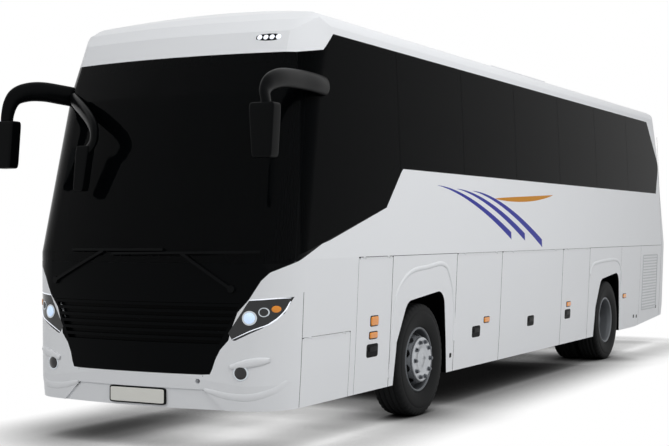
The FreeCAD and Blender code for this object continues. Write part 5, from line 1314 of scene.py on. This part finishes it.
@dataclass
class Mirrors:
    """Three hung mirror heads on deep curved arms, each head a tapered shell with its glass."""

    face: float = -3.12
    kerb_face: float = -2.76
    deep: float = 0.12
    taper: float = 0.24
    inset: float = 0.016
    arm_points: int = 56
    arm_flat: float = 0.62

    def build(self) -> None:
        """Makes shells, arms and glasses."""
        shells, glasses = [], []
        for sign, low, high, lean in (
            (1, (1.272, self.face, 2.25), (1.488, self.face + self.deep, 2.65), 0.0),
            (-1, (1.272, self.kerb_face, 2.25), (1.488, self.kerb_face + self.deep, 2.65), -0.01),
            (-1, (0.54, -2.70, 2.05), (0.67, -2.61, 2.42), -0.05),
        ):
            shells.append(self.handed(*self.head(low, high, lean, 0.18), sign))
            glass_low = (low[0] + self.inset, high[1] - 0.012, low[2] + self.inset)
            glass_high = (high[0] - self.inset, high[1] + 0.002, high[2] - self.inset)
            glasses.append(self.handed(*self.head(glass_low, glass_high, lean, 0.15), sign))
        for sign, knots, tall in self.arms():
            path = smooth_path(knots, self.arm_points) + np.array([0, FRONT_AXLE, 0])
            place = np.linspace(0, 1, self.arm_points)
            swell = np.interp(place, np.linspace(0, 1, len(tall)), tall)
            shells.append(self.handed(*tube(path, swell, 20, self.arm_flat), sign))
        for name, parts, finish in (
            ("mirror_shells", shells, SATIN_BLACK), ("mirror_glasses", glasses, MIRROR_GLASS)
        ):
            node = "mirrors" if parts is shells else ""
            fasten(mesh_piece(name, *merged(parts), finish), node=node)
        LOG.info("mirrors")

    def arms(self) -> tuple:
        """Lists the arms.

        Returns:
            (side, knots from head to root, half heights from head to root) of each.
        """
        left = (
            (1.388, -3.06, 2.60), (1.385, -3.055, 2.66), (1.361, -3.03, 2.74),
            (1.356, -2.95, 2.81), (1.34, -2.75, 2.86), (1.295, -2.40, 2.885),
            (1.265, -2.10, 2.89), (1.235, -1.90, 2.885),
        )
        kerb = (
            (1.385, -2.70, 2.60), (1.385, -2.69, 2.70), (1.368, -2.67, 2.80),
            (1.345, -2.62, 2.87), (1.30, -2.52, 2.91), (1.24, -2.40, 2.92),
            (1.17, -2.26, 2.905), (1.09, -2.13, 2.885),
        )
        near = (
            (0.56, -2.655, 2.38), (0.50, -2.655, 2.45), (0.49, -2.655, 2.54),
            (0.56, -2.61, 2.625), (0.71, -2.51, 2.72), (0.90, -2.37, 2.81), (1.03, -2.25, 2.86),
            (1.10, -2.14, 2.88),
        )
        return (
            (1, left, (0.052, 0.056, 0.062, 0.072, 0.078, 0.080, 0.080)),
            (-1, kerb, (0.052, 0.056, 0.066, 0.078, 0.084, 0.086, 0.086)),
            (-1, near, (0.046, 0.052, 0.058, 0.060, 0.060, 0.056, 0.052)),
        )

    def head(self, low, high, lean: float, power: float) -> tuple[np.ndarray, np.ndarray]:
        """A rounded block that narrows downwards and leans.

        With h from -1/2 at its foot to 1/2 at its top, x is the middle plus its offset times
        (1 - taper (1/2 - h)), plus the lean times h.

        Args:
            low: the lowest corner, from the front axle.
            high: the highest corner.
            lean: how far its top lies out of its foot.
            power: the rounding of its edges.

        Returns:
            Points and quads.
        """
        points, faces = rounded_block(low, high, power, 24)
        middle = (low[0] + high[0]) / 2
        rise = (points[..., 2] - (low[2] + high[2]) / 2) / (high[2] - low[2])
        points[..., 0] = middle + (points[..., 0] - middle) * (1 - self.taper * (0.5 - rise)) + lean * rise
        return points + np.array([0, FRONT_AXLE, 0]), faces

    def handed(self, points: np.ndarray, faces: np.ndarray, sign: int) -> tuple[np.ndarray, np.ndarray]:
        """Mirrors a form drawn at +X to its side and keeps its faces outward.

        Args:
            points: the points.
            faces: the quads.
            sign: 1 keeps it, -1 mirrors it.

        Returns:
            Points and quads.
        """
        points = points.reshape(-1, 3) * np.array([sign, 1, 1])
        return points, faces if sign > 0 else faces[:, ::-1]


# ---------------------------------------------------------------- skin details


@dataclass
class SkinDetails:
    """What is fastened on the skin: latches, markers, plates, seams, grille and lamps."""

    raised_from: float = 0.002
    strip_pitch: float = 0.05
    flank_foot: float = -0.002
    nose_foot: float = -0.01

    def side_pad(
        self, y: float, z: float, length: float, height: float, out: int, depth: float, power: float = 0.3
    ) -> tuple[np.ndarray, np.ndarray]:
        """A rounded pad that lies on the flank.

        Args:
            y: its middle, from the front axle.
            z: its height.
            length: its size along the coach.
            height: its size up.
            out: the side's sign.
            depth: how far it stands proud.
            power: its rounding.

        Returns:
            Points and quads.
        """
        x = float(skin_x(np.array(y), np.array(z)))
        low = (x - 0.02, y - length / 2, z - height / 2)
        high = (x + depth, y + length / 2, z + height / 2)
        points, faces = rounded_block(low, high, power, 14)
        lean = skin_x(points[..., 1], points[..., 2]) - x
        points = points + np.stack([lean, np.full_like(lean, FRONT_AXLE), 0 * lean], axis=-1)
        points = points.reshape(-1, 3) * np.array([out, 1, 1])
        return points, faces if out > 0 else faces[:, ::-1]

    def pads(self, name: str, places, finish: Finish, body: str = "coach_body") -> None:
        """Joins several pads on both flanks into one piece.

        Args:
            name: the piece's name.
            places: (y, z, length, height, side, depth) of each.
            finish: the finish.
            body: the body that they ride on.
        """
        parts = [
            self.side_pad(y, z, length, height, out, depth) for y, z, length, height, out, depth in places
        ]
        fasten(mesh_piece(name, *merged(parts), finish), body)

    def ribbon(
        self, name: str, knots, half: float, out: int, finish: Finish,
        lift: float = 0.0008,
    ) -> None:
        """A thin strip on the flank along a broken line.

        The strip's points are the line's, moved across it, at the skin's x. Its middle stands
        proud by its lift, and its edges lie just under the skin.

        Args:
            name: the piece's name.
            knots: (y, z) points from the front axle.
            half: half its width.
            out: the side's sign.
            finish: the finish.
            lift: how far its middle stands proud.
        """
        knots = np.array(knots, float)
        run = np.concatenate([[0], np.cumsum(np.hypot(*np.diff(knots, axis=0).T))])
        t = np.linspace(0, run[-1], max(8, int(run[-1] / self.strip_pitch)))
        line = np.stack([np.interp(t, run, knots[:, 0]), np.interp(t, run, knots[:, 1])], axis=-1)
        raised = lift > self.raised_from
        if raised:
            line = smooth_path([(y, 0, z) for y, z in knots], len(t))[:, [0, 2]]
        rows = []
        for spot, off in strip_rows(line, half, lift, self.flank_foot):
            x = skin_x(spot[:, 0], spot[:, 1]) + off
            rows.append(np.stack([out * x, spot[:, 0] + FRONT_AXLE, spot[:, 1]], axis=-1))
        faces = grid_faces(len(rows), len(t), True, False)
        faces = faces if out < 0 else faces[:, ::-1]
        fasten(mesh_piece(name, np.stack(rows), faces, finish, raised))

    def latches(self) -> None:
        """Latches on the lids, each on the body of its own lid, and on the service flap."""
        places = (
            ("service_flap_left", -1.04, 0.69, 1, "service"),
            ("luggage_lid_left_1", 1.35, 0.69, 1, "first"),
            ("luggage_lid_left_2", 3.00, 0.70, 1, "second"),
            ("luggage_lid_left_3", 4.34, 0.70, 1, "third"),
            ("luggage_lid_right_1", 1.35, 0.69, -1, "right_first"),
            ("luggage_lid_right_2", 3.00, 0.70, -1, "right_second"),
        )
        for body, y, z, out, tag in places:
            frame, lever = (y, z, 0.23, 0.12, out, 0.003), (y, z + 0.012, 0.15, 0.045, out, 0.009)
            self.pads(f"latch_frame_{tag}", [frame], GRAINED_BLACK, body)
            self.pads(f"latch_lever_{tag}", [lever], SATIN_BLACK, body)

    def markers(self) -> None:
        """Amber side markers in dark frames, and small locks."""
        small = (0.15, 0.052)
        places = [
            ("indicator_left", -1.02, 0.944, (0.145, 0.078), 1, "service_flap_left"),
            ("marker_service_left", -1.03, 0.821, small, 1, "service_flap_left"),
            ("marker_bay_left_1", 1.63, 0.795, small, 1, "luggage_lid_left_1"),
            ("marker_bay_left_3", 4.36, 0.82, small, 1, "luggage_lid_left_3"),
            ("marker_bay_right_1", 1.63, 0.795, small, -1, "luggage_lid_right_1"),
            ("marker_rear_left", 6.86, 0.81, small, 1, "coach_body"),
            ("marker_rear_right", 6.86, 0.81, small, -1, "coach_body"),
        ]
        for name, y, z, (length, height), out, body in places:
            frame = (y, z, length + 0.02, height + 0.018, out, 0.004)
            self.pads(f"{name}_frame", [frame], SATIN_BLACK, body)
            self.pads(name, [(y, z, length, height, out, 0.012)], AMBER_LENS, body)
        for out, word in SIDES:
            locks = [
                (y, z, 0.045, 0.045, out, 0.005)
                for y, z in ((7.393, 0.494), (7.55, 0.485), (8.618, 0.571), (0.70, 0.50))
            ]
            self.pads(f"small_locks_{word}", locks, SATIN_BLACK)

    def seams(self) -> None:
        """Dark joints where fixed panels meet on the flanks, and a pale strip beside the screen that paints
        the highlight on its edge.
        """
        # The path of the pale strip beside the windscreen, a painted highlight of the screen's edge.
        bead = ((-2.038, 3.163), (-2.172, 2.515), (-2.288, 1.961), (-2.385, 1.481))
        for out, word in SIDES:
            self.ribbon(f"seam_corner_{word}", ((-2.28, 0.345), (-2.28, 1.245)), 0.003, out, SEAM_DARK)
            self.ribbon(f"seam_tail_{word}", ((8.82, 0.43), (8.82, 3.15)), 0.003, out, SEAM_DARK)
            self.ribbon(f"seam_belt_front_{word}", ((-1.36, 1.5), (0.776, 1.5)), 0.0025, out, SEAM_DARK)
            self.ribbon(f"seam_belt_rear_{word}", ((5.17, 1.5), (8.82, 1.5)), 0.0025, out, SEAM_DARK)
            self.ribbon(f"screen_bead_{word}", bead, 0.005, out, PAINTED_EDGE_HIGHLIGHT, 0.0015)

    def arch_ribs(self) -> None:
        """Soft pressed ribs round the wheel arches, in the panels' own enamel."""
        front = (
            (-0.671, 0.419), (-0.645, 0.819), (-0.600, 1.105), (-0.503, 1.245), (-0.271, 1.353),
            (0.072, 1.383), (0.352, 1.407), (0.498, 1.383), (0.573, 1.329), (0.685, 1.167),
            (0.745, 0.941), (0.755, 0.642),
        )
        rear = (
            (5.204, 1.154), (5.278, 1.243), (5.402, 1.294), (5.85, 1.321), (6.32, 1.326),
            (6.526, 1.28), (6.638, 1.181), (6.724, 0.971),
        )
        for out, word in SIDES:
            for place, knots in (("front", front), ("rear", rear)):
                self.ribbon(f"arch_rib_{place}_{word}", knots, 0.022, out, ENAMEL, 0.008)

    def radiator_grille(self) -> None:
        """Slats over the radiator on the left and right rear flank.

        Slat k is a thin block at z = z0 + k p, in a frame of four bars.
        """
        for out, word in SIDES:
            parts = []
            levels = np.arange(0.60, 1.34, 0.042)
            for z in levels:
                parts.append(self.side_pad(8.2, float(z), 0.78, 0.020, out, 0.004, 0.2))
            for y in (7.80, 8.60):
                parts.append(self.side_pad(y, 0.9615, 0.02, 0.80, out, 0.006, 0.2))
            for z in (0.565, 1.358):
                parts.append(self.side_pad(8.2, z, 0.82, 0.02, out, 0.006, 0.2))
            # The slats wear the body's white turned grey by painted shade.
            fasten(mesh_piece(f"radiator_grille_{word}", *merged(parts), GRILLE_SHADED_GREY))

    def front_disc(
        self, x: float, z: float, radius: float, depth: float, dome: float, steps: int = 40
    ) -> tuple[np.ndarray, np.ndarray]:
        """A round boss on the nose.

        Rings of radius r at height z follow the skin, lifted by depth and a dome
        d (1 - (r / R)^2).

        Args:
            x: its middle across.
            z: its height.
            radius: its radius.
            depth: how far its rim stands before the skin.
            dome: how far its middle stands before its rim.
            steps: points round it.

        Returns:
            Points and quads.
        """
        a = np.linspace(0, 2 * np.pi, steps, endpoint=False)[None, :]
        share = np.array([1.0, 1.0, 0.97, 0.8, 0.6, 0.4, 0.2, 0.001])[:, None]
        rise = np.array([-0.02, depth * 0.8] + [depth] * 6)[:, None]
        lift = rise + dome * (1 - share**2)
        px = x + radius * share * np.cos(a)
        pz = z + radius * share * np.sin(a)
        py = nose_y(px, pz) - lift
        points = np.stack([px, py, pz], axis=-1)
        return points, grid_faces(8, steps, False, True)[:, ::-1]

    def lamps(self) -> None:
        """Projectors, reflectors, light bars and fog lamps at both front corners."""
        bezels, glows, ambers, bars, bowls = [], [], [], [], []
        top = ((0.97, 1.190), (1.06, 1.196), (1.15, 1.203), (1.225, 1.206))
        low = ((0.845, 0.890), (0.984, 0.955), (1.117, 1.012), (1.190, 1.095), (1.222, 1.180))
        for sign in (1, -1):
            bezels.append(self.front_disc(sign * 0.975, 1.054, 0.056, 0.003, -0.004))
            glows.append(self.front_disc(sign * 0.975, 1.054, 0.043, 0.004, 0.012))
            bezels.append(self.front_disc(sign * 1.078, 1.099, 0.036, 0.003, -0.004))
            bowls.append(self.front_disc(sign * 1.078, 1.099, 0.029, 0.004, 0.006))
            ambers.append(self.front_disc(sign * 1.152, 1.122, 0.026, 0.004, 0.004))
            bezels.append(self.front_disc(sign * 0.917, 0.632, 0.060, 0.004, -0.004))
            bowls.append(self.front_disc(sign * 0.917, 0.632, 0.048, 0.006, 0.012))
            bars.append(self.nose_strip(tuple((sign * x, z) for x, z in top), 0.0035, 0.003))
            bars.append(self.nose_strip(tuple((sign * x, z) for x, z in low), 0.0035, 0.003))
        for name, parts, finish in (
            ("lamp_bezels", bezels, REFLECTOR),
            ("lamp_projectors", glows, PROJECTOR),
            ("lamp_bowls", bowls, LAMP_BOWL),
            ("corner_reflectors", ambers, AMBER_LENS),
            ("daylight_bars", bars, LED_WHITE),
        ):
            fasten(mesh_piece(name, *merged(parts), finish))

    def bumper_lines(self) -> None:
        """Joints in the bumper and the soft creases pressed over and under its corner lamps."""
        joints, creases = [], []
        for sign in (1, -1):
            for knots in (((0.604, 0.607), (0.601, 0.494)), ((0.601, 0.494), (0.795, 0.345))):
                joints.append(self.nose_strip(tuple((sign * x, z) for x, z in knots), 0.003, 0.0008))
            for knots in (
                ((0.832, 0.675), (0.99, 0.711), (1.118, 0.733)),
                ((0.615, 0.494), (0.806, 0.453), (0.985, 0.448), (1.13, 0.494), (1.205, 0.562)),
            ):
                creases.append(self.nose_strip(tuple((sign * x, z) for x, z in knots), 0.034, 0.008))
        fasten(mesh_piece("bumper_joints", *merged(joints), SEAM_DARK))
        fasten(mesh_piece("bumper_creases", *merged(creases), ENAMEL))

    def nose_strip(self, knots, half: float, lift: float) -> tuple[np.ndarray, np.ndarray]:
        """A strip on the nose along a curve given in the front view.

        Args:
            knots: (x, z) points.
            half: half its width.
            lift: how far it stands before the skin.

        Returns:
            Points and quads.
        """
        count = 40
        path = smooth_path([(x, 0, z) for x, z in knots], count)[:, [0, 2]]
        taper = np.sin(np.linspace(0.15, np.pi - 0.15, count)) ** 0.4
        rows = []
        for spot, off in strip_rows(path, half * taper[:, None], lift, self.nose_foot):
            rows.append(np.stack([spot[:, 0], nose_y(spot[:, 0], spot[:, 1]) - off, spot[:, 1]], axis=-1))
        faces = grid_faces(len(rows), count, True, False)
        return np.stack(rows), faces if knots[0][0] < knots[-1][0] else faces[:, ::-1]

    def plates(self) -> None:
        """Blank number plates in their frames, front and rear."""
        front = float(nose_y(np.array(0.0), np.array(0.43)))
        tail = TAIL + FRONT_AXLE
        half = 0.26
        for word, y, z in (("front", front + 0.012, 0.425), ("rear", tail - 0.016, 0.70)):
            frame = rounded_block(
                (-half - 0.012, y - 0.010, z - 0.067), (half + 0.012, y + 0.010, z + 0.067), 0.15, 16
            )
            face = rounded_block((-half, y - 0.013, z - 0.056), (half, y + 0.013, z + 0.056), 0.12, 16)
            for name, part, finish in (("frame", frame, SATIN_BLACK), ("face", face, PLATE_WHITE)):
                fasten(mesh_piece(f"plate_{name}_{word}", *part, finish))

    def tail_pad(
        self, x: float, z: float, width: float, height: float, depth: float
    ) -> tuple[np.ndarray, np.ndarray]:
        """A rounded pad that lies on the tail.

        The tail's y is its rearmost place less its lean at the height, less R - sqrt(R^2 - x^2).

        Args:
            x: its middle across.
            z: its height.
            width: its size across.
            height: its size up.
            depth: how far it stands proud.

        Returns:
            Points and quads.
        """
        points, faces = rounded_block(
            (x - width / 2, -0.02, z - height / 2), (x + width / 2, depth, z + height / 2), 0.2, 14
        )
        lean = np.interp(points[..., 2], [0.34, 0.65, 1.5, 2.8, 3.15], [0.060, 0.0, 0.035, 0.235, 0.340])
        points[..., 1] += TAIL + FRONT_AXLE - lean - (TAIL_BOW - np.sqrt(TAIL_BOW**2 - points[..., 0] ** 2))
        return points, faces

    def tail(self) -> None:
        """Louvres and a handle on the engine lid, lamp cells at the corners and a high stop lamp."""
        slats = [self.tail_pad(0.0, float(z), 1.30, 0.022, 0.006) for z in np.arange(0.98, 1.28, 0.042)]
        louvres = mesh_piece("engine_lid_louvres", *merged(slats), GRAINED_BLACK)
        fasten(louvres, "engine_lid")
        handle = mesh_piece("engine_lid_handle", *self.tail_pad(0.0, 0.86, 0.22, 0.05, 0.006), SATIN_BLACK)
        fasten(handle, "engine_lid")
        ambers = [self.tail_pad(sign * 1.0, 1.38, 0.11, 0.11, 0.005) for sign in (1, -1)]
        whites = [self.tail_pad(sign * 1.0, 0.92, 0.11, 0.09, 0.005) for sign in (1, -1)]
        fasten(mesh_piece("tail_indicators", *merged(ambers), AMBER_LENS))
        fasten(mesh_piece("reversing_lamps", *merged(whites), REFLECTOR))
        fasten(
            mesh_piece("high_stop_lamp", *self.tail_pad(0.0, 3.02, 0.42, 0.035, 0.008), RED_LENS),
        )

    def dome_lamps(self) -> None:
        """A cluster of four marker lamps on the left of the dome."""
        level = 3.28
        cells = [
            self.front_disc(0.936 - index * 0.052, level, 0.020, 0.006, 0.006, 24) for index in range(4)
        ]
        base = self.nose_strip(((0.97, level), (0.86, level), (0.75, level)), 0.030, 0.003)
        fasten(mesh_piece("dome_lamp_base", *base, SATIN_BLACK))
        fasten(mesh_piece("dome_lamp_cells", *merged(cells), LED_WHITE))

    def build(self) -> None:
        """Makes all the details."""
        self.latches()
        self.markers()
        self.seams()
        self.arch_ribs()
        self.radiator_grille()
        self.lamps()
        self.bumper_lines()
        self.plates()
        self.tail()
        self.dome_lamps()
        LOG.info("skin details")


# ---------------------------------------------------------------- cabin


@dataclass
class Seats:
    """Padded seats: crowned cushions and backs with headrests, two by two."""

    rows: int = 12
    pitch: float = 0.79
    first: float = -0.80
    inner: float = 0.33
    width: float = 0.42
    deck: float = 1.50
    gap: tuple[float, float] = (4.066, 5.002)
    depth: float = 0.54
    seam: float = 0.006
    driver: tuple[float, float, float] = (0.32, -1.60, 1.0)
    driver_width: float = 0.46
    # A pad's inset from the seat's sides, its start, end, foot and top, its channels and their axis.
    cushion: tuple[float, ...] = (0.0, 0.0, 0.43, 0.325, 0.44, 4, 1)
    back: tuple[float, ...] = (0.0, 0.435, 0.53, 0.385, 0.93, 5, 2)
    headrest: tuple[float, ...] = (0.06, 0.44, 0.525, 0.93, 1.118, 2, 2)

    def places(self) -> list[tuple[float, float, float]]:
        """Lists each single seat.

        Returns:
            (inner x with its sign, start y, floor) of each.
        """
        out = []
        for row in range(self.rows):
            y = self.first + row * self.pitch
            for sign in (1, -1):
                if sign < 0 and y + self.depth > self.gap[0] and y < self.gap[1]:
                    continue
                out += [(sign * self.inner, y, self.deck), (sign * (self.inner + self.width), y, self.deck)]
        out.append(self.driver)
        return out

    def pad(self, low, high, channels: int, axis: int) -> tuple[np.ndarray, np.ndarray]:
        """A crowned pad with sewn channels.

        A rounded block whose surface is drawn in by d |cos(pi n t)| at its channels.

        Args:
            low: the lowest corner.
            high: the highest corner.
            channels: how many channels cross it.
            axis: the axis along which they follow each other.

        Returns:
            Points and quads.
        """
        points, faces = rounded_block(low, high, 0.45, 18)
        low, high = np.array(low), np.array(high)
        t = (points[..., axis] - low[axis]) / (high - low)[axis]
        dip = 0.010 * (1 - np.abs(np.sin(np.pi * channels * t)) ** 0.5)
        middle = (low + high) / 2
        thin = int(np.argmin(high - low))
        shift = np.zeros_like(points)
        shift[..., thin] = -np.sign(points[..., thin] - middle[thin]) * dip
        return points + shift, faces

    def build(self) -> None:
        """Makes the cushions and the backs."""
        cushions, backs = [], []
        for x, y, floor in self.places():
            sign = 1 if x > 0 else -1
            width = self.driver_width if (x, y, floor) == self.driver else self.width - 2 * self.seam
            x0, x1 = sorted((x + sign * self.seam, x + sign * width))
            shift = y + FRONT_AXLE
            for parts, kind in ((cushions, self.cushion), (backs, self.back), (backs, self.headrest)):
                inset, start, end, foot, top, channels, axis = kind
                low = (x0 + inset, shift + start, floor + foot)
                high = (x1 - inset, shift + end, floor + top)
                parts.append(self.pad(low, high, channels, axis))
        for name, parts, node in (
            ("seat_cushion_pads", cushions, "seat_cushions"), ("seat_back_pads", backs, "seat_backs")
        ):
            piece = mesh_piece(name, *merged(parts), SEAT_CLOTH)
            fasten(piece, node=node)
        LOG.info("seats")


def main() -> None:
    """Builds the coach's looks in order."""
    logging.basicConfig(level=logging.INFO)
    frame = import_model()
    Dressing(frame["nodes"]).build()
    WheelSet().build()
    Mirrors().build()
    SkinDetails().build()
    Seats().build()
    Studio().build()
    LOG.info("pieces made")


if __name__ == "__main__":
    main()
